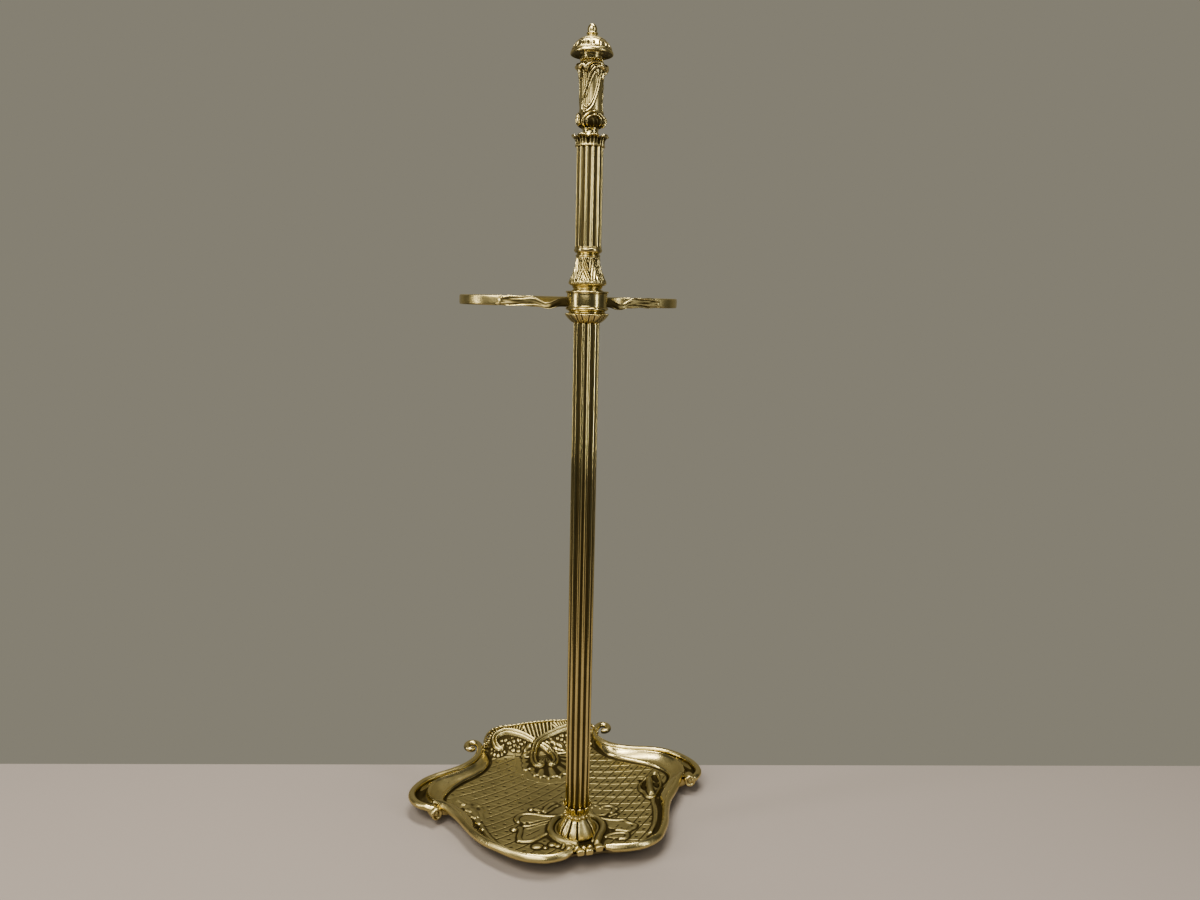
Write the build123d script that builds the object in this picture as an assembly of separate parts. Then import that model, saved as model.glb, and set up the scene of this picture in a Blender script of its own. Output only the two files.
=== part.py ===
"""Brass umbrella stand: a cast dish tray with a shell back, a column of turned and cast pieces
clamped on one tie rod, and a cast double ring that holds the umbrellas.

Units are millimetres.  +Z is up and z = 0 is the surface that the feet stand on.  x = 0 is the
mirror plane, +Y is the shell back of the tray, and the origin is the middle of the footprint.
Each piece of the column is modelled about its own vertical axis and then moved to COLUMN_Y.
"""
import os

from build123d import *

os.makedirs("parts", exist_ok=True)

# Driving dimensions of the tray
TRAY_MIDDLE_Y = 120.8      # from the front beads to the middle of the footprint
FOOT_HEIGHT = 6.5          # from the table to the flat underside
FLOOR_TOP = 9.5
BELLY_SCALE = 0.88         # size of the flat underside against the rim
RIM_FOOT_Z = 14.5
RIM_BULGE_Z = 17.8
RIM_TOP = 20.0
SHELL_TOP = 28.0
SHELL_CENTRE_Y = 91.0
SHELL_EDGE_RADIUS = 150.0
SHELL_HALF_ANGLE = 24.0
SHELL_FLUTES = 13
RAIL_RADIUS = 3.4
SCROLL_WIDTH = 5.0
SCROLL_HEIGHT = 2.0
PEARL_PITCH = 8.1
PEARL_SIZE = (6.8, 5.6, 5.4)

# Driving dimensions of the column
COLUMN_Y = 51.5 - TRAY_MIDDLE_Y
ROD_RADIUS = 2.5
ROD_HOLE = 2.8
THREAD = 4.0               # how far the rod screws into the finial
WASHER_THICKNESS = 1.2
NUT_HEIGHT = 2.7
TUBE_RADIUS = 11.4
TUBE_BORE = 9.3
SPIGOT_RADIUS = 9.1
SPIGOT_LENGTH = 9.0
FLUTES = 12
FLUTE_RADIUS = 2.4
FLUTE_OFFSET = 1.2         # how far outside the tube the middle of each flute lies

# Where the grooves of the bell foot lie in each third of a turn, in degrees from the front
BELL_GROOVES = (-72.0, -42.0, -12.0)

# Heights of the joints between the stacked pieces, from the tray upwards
BELL_TOP = 27.0
COLLAR_TOP = 39.2
LOWER_TUBE_TOP = 484.8
CUP_TOP = 493.0
COVE_TOP = 498.0
HUB_TOP = 510.0
FLANGE_TOP = 511.6
SEAT_TOP = 515.8
BALUSTER_TOP = 539.8
TUBE_RING_TOP = 548.0
UPPER_TUBE_TOP = 628.5
CROWN_TOP = 638.0
SPACER_TOP = 643.3
GRIP_TOP = 694.1
NECK_TOP = 699.0
DOME_RIM = 700.5
DOME_TOP = 714.2
FINIAL_TOP = 724.7

# Umbrella rings
HUB_RADIUS = 17.2
BAND_BOTTOM = 498.0
BAND_HEIGHT = 8.5
BAND_THICKNESS = 4.0
LOOP_X = 62.0
LOOP_BACK = 61.0
LOOP_RADIUS = 38.8
LOOP_ROOT_X = 13.0
LOOP_ROOT_BACK = 8.0
LOOP_ROOT_RADIUS = 5.0


def turned(outline, bore, smooth=True):
    """Ring turned about Z: outline is (radius, z) from the bottom up, bore is the hole's radius."""
    points = [(radius, 0, z) for radius, z in outline]
    first, last = points[0], points[-1]
    side = Spline(*points) if smooth else Polyline(*points)
    inside = Polyline(last, (bore, 0, last[2]), (bore, 0, first[2]), first)
    return revolve(make_face([side, inside]), Axis.Z)


def meridian_cuts(piece, outline, count, radius, turn=0.0):
    """Cut round grooves that run up the piece along the (radius, z) outline, evenly round it."""
    path = Spline(*[(r, 0, z) for r, z in outline])
    section = Plane(path @ 0, z_dir=path % 0) * Circle(radius)
    groove = sweep(section, path=path)
    for index in range(count):
        piece -= Rot(0, 0, turn + 360 * index / count) * groove
    return piece


def ring_of(piece, count, radius, z):
    """Copies of the piece, evenly round the axis."""
    return [Pos(0, 0, z) * place * piece for place in PolarLocations(radius, count)]


def spigot(bottom, top):
    """Plain stub that centres a tube on the piece it stands on or under."""
    return turned([(SPIGOT_RADIUS, bottom), (SPIGOT_RADIUS, top)], ROD_HOLE, smooth=False)


def fluted_tube(bottom, top):
    """Drawn tube with round flutes along its whole length."""
    section = Circle(TUBE_RADIUS)
    section -= PolarLocations(TUBE_RADIUS + FLUTE_OFFSET, FLUTES) * Circle(FLUTE_RADIUS)
    section -= Circle(TUBE_BORE)
    return Pos(0, 0, bottom) * extrude(section, top - bottom)


def leaf_notches(piece, count, radius, bottom, top, width):
    """Cut V notches down from a flared rim, which leaves a ring of separate leaf tips."""
    depth = top - bottom
    notch = Polyline((-width / 2, top + 1), (width / 2, top + 1), (0, top - depth), close=True)
    blade = extrude(Plane.XZ * make_face([notch]), -2 * radius)
    for index in range(count):
        piece -= Rot(0, 0, 360 * index / count) * blade
    return piece


# ---- Tray ----------------------------------------------------------------------------------

def smooth_outline(half, scale, z):
    """Face inside a smooth closed curve through the right half's points and their mirror images."""
    right = [Vector(x * scale, (y - TRAY_MIDDLE_Y) * scale, z) for x, y in half]
    left = [Vector(-p.X, p.Y, p.Z) for p in reversed(right) if p.X > 0]
    points = right + left
    count = len(points)
    tangents = [points[(i + 1) % count] - points[i - 1] for i in range(count)]
    edges = []
    for i in range(count):
        j = (i + 1) % count
        reach = (points[j] - points[i]).length
        start = tangents[i].normalized() * reach
        finish = tangents[j].normalized() * reach
        edges.append(Bezier(points[i], points[i] + start / 3, points[j] - finish / 3, points[j]))
    return Face(Wire(edges))


def rim_half():
    """Right half of the rim's outer edge, from the front beads round to the shell."""
    front = [(0, 1.5), (13, 2.5), (36, -0.8), (60, 8), (80, 25), (93, 47.5), (106, 73.5)]
    corner = [(120, 94.5), (133, 99), (147, 111), (151, 128), (145, 147), (128, 162)]
    back = [(104, 173), (78, 188), (65, 206), (55, 226), (28, 233), (0, 235)]
    return front + corner + back


def floor_half():
    """Right half of the line where the flat floor meets the hollow wall, matched to the rim."""
    front = [(0, 26), (12, 24), (32, 20), (54, 24), (69, 36), (78, 54), (85, 76)]
    corner = [(96, 96), (104, 107), (112, 117), (116, 127), (112, 138), (101, 150)]
    back = [(86, 161), (71, 174), (61, 187), (50, 198), (26, 204), (0, 206)]
    return front + corner + back


def tray_dish():
    """Hollow dish with a thick rounded rim that overhangs the belly."""
    rim = rim_half()
    levels = [(BELLY_SCALE, FOOT_HEIGHT), (0.955, RIM_FOOT_Z), (0.99, RIM_FOOT_Z + 1.4),
              (1.0, RIM_BULGE_Z), (0.994, RIM_TOP - 0.7), (0.98, RIM_TOP)]
    outside = loft([smooth_outline(rim, scale, z) for scale, z in levels], ruled=True)
    mouth = smooth_outline(rim, 0.945, RIM_TOP)
    floor = smooth_outline(floor_half(), 1.0, FLOOR_TOP)
    return outside - loft([floor, mouth], ruled=True)


def shell_body():
    """Smooth shell about its own fan centre, before the flutes are cut."""
    edge = SHELL_EDGE_RADIUS
    start = edge - 46
    top = Spline((start, 0, FLOOR_TOP - 0.5), (edge - 22, 0, 15), (edge, 0, SHELL_TOP))
    under = Polyline((edge, 0, SHELL_TOP), (edge + 1.5, 0, SHELL_TOP - 1), (edge - 4, 0, 16),
                     (edge - 14, 0, 12), (edge - 30, 0, FOOT_HEIGHT + 0.5),
                     (start, 0, FOOT_HEIGHT + 0.5), (start, 0, FLOOR_TOP - 0.5))
    profile = Rot(0, 0, 90 - SHELL_HALF_ANGLE) * make_face([top, under])
    return revolve(profile, Axis.Z, 2 * SHELL_HALF_ANGLE)


def shell_back():
    """Fluted shell that rises behind the dish."""
    edge = SHELL_EDGE_RADIUS
    flute_start = Vector(edge - 30, 0, 15.5)
    flute_end = Vector(edge + 4, 0, SHELL_TOP + 4)
    along = flute_end - flute_start
    flute = extrude(Plane(flute_start, z_dir=along) * Circle(3.2), along.length)
    step = 2 * SHELL_HALF_ANGLE / SHELL_FLUTES
    first = 90 - SHELL_HALF_ANGLE + step / 2
    flutes = [Rot(0, 0, first + index * step) * flute for index in range(SHELL_FLUTES)]
    return Pos(0, SHELL_CENTRE_Y - TRAY_MIDDLE_Y, 0) * (shell_body() - flutes)


def heart_scrolls():
    """Two raised scrolls that cross on the shell and curl in at the bottom of a heart."""
    crown = (22, 238)
    crossing = (-4, 217)
    outer = ThreePointArc((44, 221), (37, 235), crown)
    middle = TangentArc(crown, crossing, tangent=outer % 1)
    inner = TangentArc(crossing, (-9, 184), tangent=middle % 1)
    tip = TangentArc((-9, 184), (-3, 188), tangent=inner % 1)
    path = Pos(0, -TRAY_MIDDLE_Y, 0) * (Curve() + [outer, middle, inner, tip])
    band = extrude(trace(path, SCROLL_WIDTH), SHELL_TOP + 10)
    envelope = Pos(0, SHELL_CENTRE_Y - TRAY_MIDDLE_Y, SCROLL_HEIGHT) * shell_body()
    low = Pos(0, 190 - TRAY_MIDDLE_Y, FLOOR_TOP) * Box(60, 40, 2 * SCROLL_HEIGHT)
    scroll = (band & envelope) + (band & low)
    return [scroll, mirror(scroll, Plane.YZ)]


def back_volute():
    """Right-hand curl in which the side rail ends behind the corner of the shell."""
    z = RIM_TOP - 1.0
    points = [(66, 200), (64, 219), (72, 233), (82, 227), (77, 219)]
    places = [(x, y - TRAY_MIDDLE_Y, z) for x, y in points]
    stem = Line(places[0], places[1])
    sweep_out = TangentArc(places[1], places[2], tangent=stem % 1)
    turn_in = TangentArc(places[2], places[3], tangent=sweep_out % 1)
    tip = TangentArc(places[3], places[4], tangent=turn_in % 1)
    path = Curve() + [stem, sweep_out, turn_in, tip]
    section = Plane(stem @ 0, z_dir=stem % 0) * Circle(RAIL_RADIUS)
    return sweep(section, path=path) + Pos(*places[4]) * Sphere(RAIL_RADIUS + 0.8)


def corner_scroll():
    """Right-hand rolled end of the side rail that hangs below the corner."""
    roll = Pos(127, 99 - TRAY_MIDDLE_Y, RIM_FOOT_Z - 1) * Rot(0, 0, -58) * Rot(0, 90, 0)
    return roll * fillet(Cylinder(5.2, 11).edges(), 1.5)


def tray_foot(x, y):
    """Short tapered foot under the belly."""
    foot = Cone(6, 8.5, FOOT_HEIGHT + 0.8, align=(Align.CENTER, Align.CENTER, Align.MIN))
    return Pos(x, y - TRAY_MIDDLE_Y, 0) * foot


def bead(x):
    """One of the squarish pearls in the middle of the front rim."""
    pearl = fillet(Box(*PEARL_SIZE).edges(), 1.6)
    return Pos(x, 3.8 - TRAY_MIDDLE_Y, RIM_TOP - 1.4) * pearl


def tray():
    """The whole casting: dish, shell, scrolls, rolled rail ends, pearls and feet."""
    right = [back_volute(), corner_scroll(), tray_foot(58, 47), tray_foot(92, 140)]
    additions = right + [mirror(piece, Plane.YZ) for piece in right]
    additions += [bead(x) for x in (-PEARL_PITCH, 0, PEARL_PITCH)]
    body = tray_dish() + shell_back() + additions
    body += heart_scrolls()
    return body - Pos(0, COLUMN_Y, 0) * Cylinder(ROD_HOLE, 60)


# ---- Column, from the tray upwards ---------------------------------------------------------

def column_foot():
    """Bell foot: in each third of a turn two narrow petals and a wide one between grooves."""
    outline = [(16.6, FLOOR_TOP), (17.9, 10.8), (17.6, 13), (15.6, 17.5), (12.6, 22),
               (10.4, 25.5), (9.9, BELL_TOP)]
    groove = [(18.2, 10.6), (17.9, 13.2), (15.9, 17.6), (12.9, 22)]
    bell = turned(outline, ROD_HOLE)
    for turn in BELL_GROOVES:
        bell = meridian_cuts(bell, groove, 3, 0.8, turn=turn - 90)
    return bell


def foot_collar():
    """Pearled ring with a flared leaf crown; its spigot centres the lower tube."""
    outline = [(9.9, BELL_TOP), (11.2, 28), (11.6, 29.3), (10.6, 30.8), (10.3, 31.6)]
    ring = turned(outline, ROD_HOLE)
    ring += ring_of(Sphere(1.35), 16, 11.0, 29.3)
    leaves = turned([(10.3, 31.6), (11.0, 34.4), (12.9, COLLAR_TOP)], ROD_HOLE)
    leaves = leaf_notches(leaves, 10, 14, 35.2, COLLAR_TOP, 3.0)
    return ring + leaves + spigot(COLLAR_TOP, COLLAR_TOP + SPIGOT_LENGTH)


def gadrooned_cup():
    """Cup of broad petals under the hub; its spigot centres the lower tube."""
    outline = [(10.9, LOWER_TUBE_TOP), (13.4, 486.2), (16.1, 488.7), (18.2, 491.2),
               (18.6, 492.2), (17.6, CUP_TOP)]
    line = [(12.0, 485.2), (13.6, 486.2), (16.3, 488.7), (18.4, 491.2)]
    cup = turned(outline, ROD_HOLE)
    cup = meridian_cuts(cup, line, 10, 0.5, turn=7)
    cup = meridian_cuts(cup, line, 10, 0.5, turn=-7)
    return cup + spigot(LOWER_TUBE_TOP - SPIGOT_LENGTH, LOWER_TUBE_TOP)


def cove_collar():
    """Hollowed collar between the cup and the hub, with a bead at its top."""
    outline = [(16.6, CUP_TOP), (15.7, 493.8), (15.6, 494.6), (16.4, 495.4), (17.5, 496),
               (17.9, 497), (17.3, COVE_TOP)]
    return turned(outline, ROD_HOLE)


def loop_outline(inset):
    """Plan of one teardrop loop, pointed at the hub, with its edge moved in by inset."""
    big = LOOP_RADIUS - inset
    small = LOOP_ROOT_RADIUS - inset
    ends = [Pos(LOOP_X, LOOP_BACK) * Circle(big), Pos(LOOP_ROOT_X, LOOP_ROOT_BACK) * Circle(small)]
    return make_hull(ends[0].edges() + ends[1].edges())


def umbrella_ring():
    """One casting: the drum on the column and the two loops that reach back over the tray."""
    drum = turned([(HUB_RADIUS, COVE_TOP), (HUB_RADIUS, HUB_TOP)], ROD_HOLE, smooth=False)
    band = loop_outline(0) - loop_outline(BAND_THICKNESS)
    loop = Pos(0, 0, BAND_BOTTOM) * extrude(band, BAND_HEIGHT)
    loop -= Pos(0, 0, COVE_TOP + 6) * Cylinder(HUB_RADIUS - 1, 40)
    return drum + [loop, mirror(loop, Plane.YZ)]


def hub_flange():
    """Thin overhanging disc that closes the top of the hub."""
    edge = HUB_RADIUS + 1.0
    outline = [(edge - 0.3, HUB_TOP), (edge, HUB_TOP + 0.5), (edge, FLANGE_TOP - 0.5),
               (edge - 0.3, FLANGE_TOP)]
    return turned(outline, ROD_HOLE, smooth=False)


def baluster_seat():
    """Small rounded ring between the flange and the baluster."""
    outline = [(13.2, FLANGE_TOP), (13.0, 512.4), (11.8, 513.4), (12.3, 514.3), (12.6, 515),
               (12.2, SEAT_TOP)]
    return turned(outline, ROD_HOLE)


def baluster():
    """Bell-shaped baluster with chased ribs."""
    outline = [(12.6, SEAT_TOP), (14.8, 517), (15.9, 518.8), (15.4, 520.4), (14.1, 522.6),
               (11.9, 527.6), (10.3, 532.8), (9.8, 537), (9.8, BALUSTER_TOP)]
    rib = [(14.6, 522), (12.1, 527.6), (10.5, 532.8), (10, 536.6)]
    return meridian_cuts(turned(outline, ROD_HOLE), rib, 24, 0.45)


def tube_ring():
    """Bead and torus under the upper tube, which its spigot centres."""
    lower = turned([(9.6, BALUSTER_TOP), (10.4, 540.6), (10.0, 541.8), (9.3, 542.3)], ROD_HOLE)
    upper = turned([(9.3, 542.3), (10.8, 543.6), (11.8, 545), (11.6, 546.6), (11.4, TUBE_RING_TOP)],
                   ROD_HOLE)
    return lower + upper + spigot(TUBE_RING_TOP, TUBE_RING_TOP + SPIGOT_LENGTH)


def leaf_crown():
    """Ring of flared leaves on top of the upper tube."""
    outline = [(11.4, UPPER_TUBE_TOP), (11.7, 630), (12.0, 633), (13.2, 636), (14.8, CROWN_TOP)]
    leaves = leaf_notches(turned(outline, ROD_HOLE), 8, 16, 634, CROWN_TOP, 4.0)
    return leaves + spigot(UPPER_TUBE_TOP - SPIGOT_LENGTH, UPPER_TUBE_TOP)


def neck_spacer():
    """Waisted ring between the crown and the grip."""
    outline = [(6.8, CROWN_TOP), (6.6, 638.8), (5.9, 640), (5.7, 641), (6.1, 642.2), (6.6, SPACER_TOP)]
    return turned(outline, ROD_HOLE)


def grip():
    """Handle with a leafy bulb below, a slim waist and a flared leaf lip above."""
    outline = [(8.2, SPACER_TOP), (11.3, 645.8), (12.3, 649.9), (10.8, 653.8), (9.5, 657.7),
               (9.3, 664), (9.4, 672), (10, 679.9), (11.6, 686.4), (13, 690.2), (12, 692.8),
               (10.8, GRIP_TOP)]
    rib = [(9.8, 657.7), (9.6, 664), (9.7, 672), (10.3, 679.9), (11.9, 686.4)]
    lobe = [(9.2, 644), (11.6, 645.8), (12.6, 649.9), (11.1, 653.8)]
    body = meridian_cuts(turned(outline, ROD_HOLE), rib, 6, 0.7)
    return meridian_cuts(body, lobe, 6, 0.7, turn=30)


def beaded_neck():
    """Ring of pearls under the dome."""
    ring = turned([(8.6, GRIP_TOP), (8.9, 695.4), (8.6, 697), (8.2, NECK_TOP)], ROD_HOLE)
    return ring + ring_of(Sphere(0.95), 18, 8.6, 696.4)


def dome_cap():
    """Dome with a thin lip, hollowed out below, and a row of small pits round it."""
    outside = Spline((17.0, 0, DOME_RIM), (17.6, 0, DOME_RIM + 1), (16.7, 0, 704.2),
                     (14.6, 0, 707.9), (9.9, 0, 712), (3.8, 0, DOME_TOP))
    inside = Polyline((3.8, 0, DOME_TOP), (ROD_RADIUS, 0, DOME_TOP), (ROD_RADIUS, 0, NECK_TOP),
                      (8.4, 0, NECK_TOP), (8.9, 0, 701.2), (12.6, 0, 702.9), (15.4, 0, 702),
                      (17.0, 0, DOME_RIM))
    dome = revolve(make_face([outside, inside]), Axis.Z)
    pit = Rot(0, -25, 0) * scale(Sphere(1), by=(1, 0.7, 1.5))
    return dome - ring_of(pit, 20, 16.0, 706.4)


def finial():
    """Small acorn that is screwed on to the top of the tie rod and clamps the stack."""
    outline = [(3.8, DOME_TOP), (3.5, 715), (4.2, 716.2), (4.3, 717.2), (3.5, 718), (3.6, 719.4),
               (3.5, 721.4), (2.6, 723.4), (0.4, FINIAL_TOP)]
    solid = turned(outline, 0)
    thread = Cylinder(ROD_RADIUS, THREAD, align=(Align.CENTER, Align.CENTER, Align.MIN))
    return solid - Pos(0, 0, DOME_TOP) * thread


def tie_rod():
    """Threaded rod that runs from the nut under the tray to the finial."""
    bottom = FOOT_HEIGHT - WASHER_THICKNESS - NUT_HEIGHT - 0.8
    top = DOME_TOP + THREAD
    rod = Cylinder(ROD_RADIUS, top - bottom, align=(Align.CENTER, Align.CENTER, Align.MIN))
    return Pos(0, 0, bottom) * chamfer(rod.edges(), 0.5)


def tray_washer():
    """Washer between the tray and the nut."""
    washer = Cylinder(8, WASHER_THICKNESS, align=(Align.CENTER, Align.CENTER, Align.MAX))
    return Pos(0, 0, FOOT_HEIGHT) * (washer - Cylinder(ROD_HOLE, 5))


def tray_nut():
    """Thin hexagon nut on the lower end of the rod."""
    plan = RegularPolygon(4.0, 6, major_radius=False) - Circle(ROD_RADIUS)
    return Pos(0, 0, FOOT_HEIGHT - WASHER_THICKNESS) * extrude(plan, -NUT_HEIGHT)


COLUMN_PIECES = {
    "column_foot": column_foot,
    "foot_collar": foot_collar,
    "lower_tube": lambda: fluted_tube(COLLAR_TOP, LOWER_TUBE_TOP),
    "gadrooned_cup": gadrooned_cup,
    "cove_collar": cove_collar,
    "umbrella_ring": umbrella_ring,
    "hub_flange": hub_flange,
    "baluster_seat": baluster_seat,
    "baluster": baluster,
    "tube_ring": tube_ring,
    "upper_tube": lambda: fluted_tube(TUBE_RING_TOP, UPPER_TUBE_TOP),
    "leaf_crown": leaf_crown,
    "neck_spacer": neck_spacer,
    "grip": grip,
    "beaded_neck": beaded_neck,
    "dome_cap": dome_cap,
    "finial": finial,
    "tie_rod": tie_rod,
    "tray_washer": tray_washer,
    "tray_nut": tray_nut,
}

pieces = {name: Pos(0, COLUMN_Y, 0) * make() for name, make in COLUMN_PIECES.items()}
pieces["tray"] = tray()
for name, solid in pieces.items():
    export_step(solid, f"parts/{name}.step")
    box = solid.bounding_box()
    print(f"{name:15} valid {solid.is_valid}  solids {len(solid.solids())}  {solid.volume:9.0f} mm3"
          f"  y {box.min.Y:7.2f}..{box.max.Y:7.2f}  z {box.min.Z:7.2f}..{box.max.Z:7.2f}")
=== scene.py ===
"""Looks of the brass umbrella stand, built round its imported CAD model.

Shapes are worked out in millimetres.  Tray plans use x from the mirror plane and y from the front
beads of the tray; column pieces use heights above the table.  Everything is turned into metres in
the frame of the CAD model at the end.
"""
import math
import bpy
import numpy as np
from mathutils import Matrix, Vector


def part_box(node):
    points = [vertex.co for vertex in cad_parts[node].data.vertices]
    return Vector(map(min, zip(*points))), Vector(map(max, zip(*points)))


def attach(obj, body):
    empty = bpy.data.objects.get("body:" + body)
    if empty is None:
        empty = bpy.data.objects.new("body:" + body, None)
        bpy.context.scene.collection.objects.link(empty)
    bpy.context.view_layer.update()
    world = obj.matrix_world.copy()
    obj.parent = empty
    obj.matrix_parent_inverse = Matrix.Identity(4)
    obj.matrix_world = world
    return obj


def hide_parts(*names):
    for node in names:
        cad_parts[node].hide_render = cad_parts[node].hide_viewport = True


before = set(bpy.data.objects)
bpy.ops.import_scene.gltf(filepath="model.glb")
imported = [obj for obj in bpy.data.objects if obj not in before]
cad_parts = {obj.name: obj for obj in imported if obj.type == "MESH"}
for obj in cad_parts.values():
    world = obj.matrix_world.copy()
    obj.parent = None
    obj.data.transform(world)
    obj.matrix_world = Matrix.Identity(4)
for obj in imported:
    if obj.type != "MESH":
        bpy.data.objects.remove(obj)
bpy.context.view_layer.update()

MM = 0.001
tray_low, tray_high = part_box("tray")
FRONT_Y = tray_low.y / MM + 0.94            # the plan's y = 0 in the frame of the CAD model
tube_low, tube_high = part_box("lower_tube")
COLUMN_Y = (tube_low.y + tube_high.y) / 2 / MM - FRONT_Y
FLOOR = 9.5                                 # height of the tray's flat floor
RIM = 20.0                                  # height of the rail's crest
MIDDLE_Y = (tray_low.y + tray_high.y) / 2 / MM - FRONT_Y


# ---- Curves and fields ----

def curve(points, closed=False, step=1.0):
    """Smooth dense polyline through the points (any number of coordinates)."""
    p = np.array(points, float)
    n = len(p)
    if closed:
        tangent = np.roll(p, -1, 0) - np.roll(p, 1, 0)
    else:
        tangent = np.gradient(p, axis=0)
    tangent /= np.linalg.norm(tangent[:, :2], axis=1)[:, None] + 1e-9
    out = []
    for i in range(n if closed else n - 1):
        a, b = p[i], p[(i + 1) % n]
        reach = np.linalg.norm((b - a)[:2])
        ta, tb = tangent[i] * reach, tangent[(i + 1) % n] * reach
        count = max(2, int(round(reach / step)))
        t = (np.arange(count) / count)[:, None]
        out.append((2 * t**3 - 3 * t**2 + 1) * a + (t**3 - 2 * t**2 + t) * ta + (3 * t**2 - 2 * t**3) * b +
            (t**3 - t**2) * tb)
    if not closed:
        out.append(p[-1:])
    return np.concatenate(out)


def mirrored(points):
    """The same points on the other side of the mirror plane."""
    p = np.array(points, float).copy()
    p[:, 0] *= -1
    return p


def path_field(X, Y, path, reach, closed=False):
    """Distance from each grid point to the path, up to reach, the length along it, and its whole length."""
    distance = np.full(X.shape, reach, float)
    along = np.zeros(X.shape)
    x0, y0, step = X[0, 0], Y[0, 0], X[0, 1] - X[0, 0]
    ends = np.roll(path, -1, 0) if closed else path[1:]
    starts = path if closed else path[:-1]
    run = 0.0
    for a, b in zip(starts, ends):
        d = b[:2] - a[:2]
        length = math.hypot(*d)
        if length < 1e-6:
            continue
        lo = np.minimum(a[:2], b[:2]) - reach
        hi = np.maximum(a[:2], b[:2]) + reach
        i0, i1 = max(0, int((lo[0] - x0) / step)), min(X.shape[1], int((hi[0] - x0) / step) + 2)
        j0, j1 = max(0, int((lo[1] - y0) / step)), min(X.shape[0], int((hi[1] - y0) / step) + 2)
        if i0 >= i1 or j0 >= j1:
            run += length
            continue
        px, py = X[j0:j1, i0:i1] - a[0], Y[j0:j1, i0:i1] - a[1]
        t = unit((px * d[0] + py * d[1]) / length**2)
        r = np.hypot(px - t * d[0], py - t * d[1])
        view_d, view_s = distance[j0:j1, i0:i1], along[j0:j1, i0:i1]
        nearer = r < view_d
        view_d[nearer] = r[nearer]
        view_s[nearer] = (run + t * length)[nearer]
        run += length
    return distance, along, run


def inside(X, Y, path):
    """Which grid points lie inside the closed path."""
    hits = np.zeros(X.shape, bool)
    ends = np.roll(path, -1, 0)
    for a, b in zip(path, ends):
        if a[1] == b[1]:
            continue
        rows = (Y > min(a[1], b[1])) & (Y <= max(a[1], b[1]))
        cross = a[0] + (Y - a[1]) / (b[1] - a[1]) * (b[0] - a[0])
        hits ^= rows & (X < cross)
    return hits


def smooth(edge0, edge1, value):
    t = unit((value - edge0) / (edge1 - edge0))
    return t * t * (3 - 2 * t)


def bump(distance, width):
    return np.exp(-(distance / width) ** 2)


def unit(value):
    return np.clip(value, 0, 1)


def cap(value):
    """Height of a unit dome at a distance from its middle, from the square of the distance."""
    return np.sqrt(unit(1 - value))


def blur(field, radius, wrap=False):
    """Box blur, applied three times."""
    out = field.astype(float)
    r = max(1, int(radius))
    for _ in range(3):
        for axis in (0, 1):
            mode = "wrap" if (wrap and axis == 1) else "edge"
            pad = [(0, 0), (0, 0)]
            pad[axis] = (r, r)
            padded = np.pad(out, pad, mode=mode)
            total = np.cumsum(padded, axis=axis)
            total = np.concatenate([np.zeros_like(np.take(total, [0], axis)), total], axis)
            n = out.shape[axis]
            hi = np.take(total, range(2 * r + 1, 2 * r + 1 + n), axis)
            lo = np.take(total, range(0, n), axis)
            out = (hi - lo) / (2 * r + 1)
    return out


def value_noise(X, Y, cell, seed):
    """Smooth noise from -1 to 1 with features about cell across."""
    table = np.random.default_rng(seed).uniform(-1, 1, (64, 64))
    u, v = X / cell, Y / cell
    i, j = np.floor(u).astype(int), np.floor(v).astype(int)
    fu, fv = u - i, v - j
    fu, fv = fu * fu * (3 - 2 * fu), fv * fv * (3 - 2 * fv)
    a, b = table[j % 64, i % 64], table[j % 64, (i + 1) % 64]
    c, d = table[(j + 1) % 64, i % 64], table[(j + 1) % 64, (i + 1) % 64]
    return (a * (1 - fu) + b * fu) * (1 - fv) + (c * (1 - fu) + d * fu) * fv


# ---- Meshes ----

def new_mesh(name, points, faces, shade_and_wear=None, material=None):
    """Object from points in millimetres (plan y measured from the front beads)."""
    p = np.array(points, float).copy()
    p[:, 1] += FRONT_Y
    mesh = bpy.data.meshes.new(name)
    mesh.from_pydata((p * MM).tolist(), [], faces if isinstance(faces, list) else faces.tolist())
    mesh.validate()
    mesh.shade_smooth()
    # Per-point attribute: above 0 it is patina and painted shade, below 0 it is rubbed wear and painted
    # highlight.
    if shade_and_wear is not None:
        layer = mesh.attributes.new("shade_and_wear", "FLOAT", "POINT")
        layer.data.foreach_set("value", np.asarray(shade_and_wear, np.float32).ravel())
    piece = bpy.data.objects.new(name, mesh)
    bpy.context.scene.collection.objects.link(piece)
    if material:
        mesh.materials.append(material)
    return piece


def grid_faces(rows, columns, wrap_rows=False, wrap_columns=False):
    """Quads of a rows by columns grid of points."""
    index = np.arange(rows * columns).reshape(rows, columns)
    if wrap_rows:
        index = np.vstack([index, index[:1]])
    if wrap_columns:
        index = np.hstack([index, index[:, :1]])
    a, b = index[:-1, :-1].ravel(), index[:-1, 1:].ravel()
    c, d = index[1:, 1:].ravel(), index[1:, :-1].ravel()
    return np.stack([a, b, c, d], 1)


def join(name, pieces):
    """One object made of several meshes."""
    bpy.ops.object.select_all(action="DESELECT")
    for piece in pieces:
        piece.select_set(True)
    bpy.context.view_layer.objects.active = pieces[0]
    if len(pieces) > 1:
        bpy.ops.object.join()
    pieces[0].name = name
    pieces[0].data.name = name
    return pieces[0]


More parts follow.
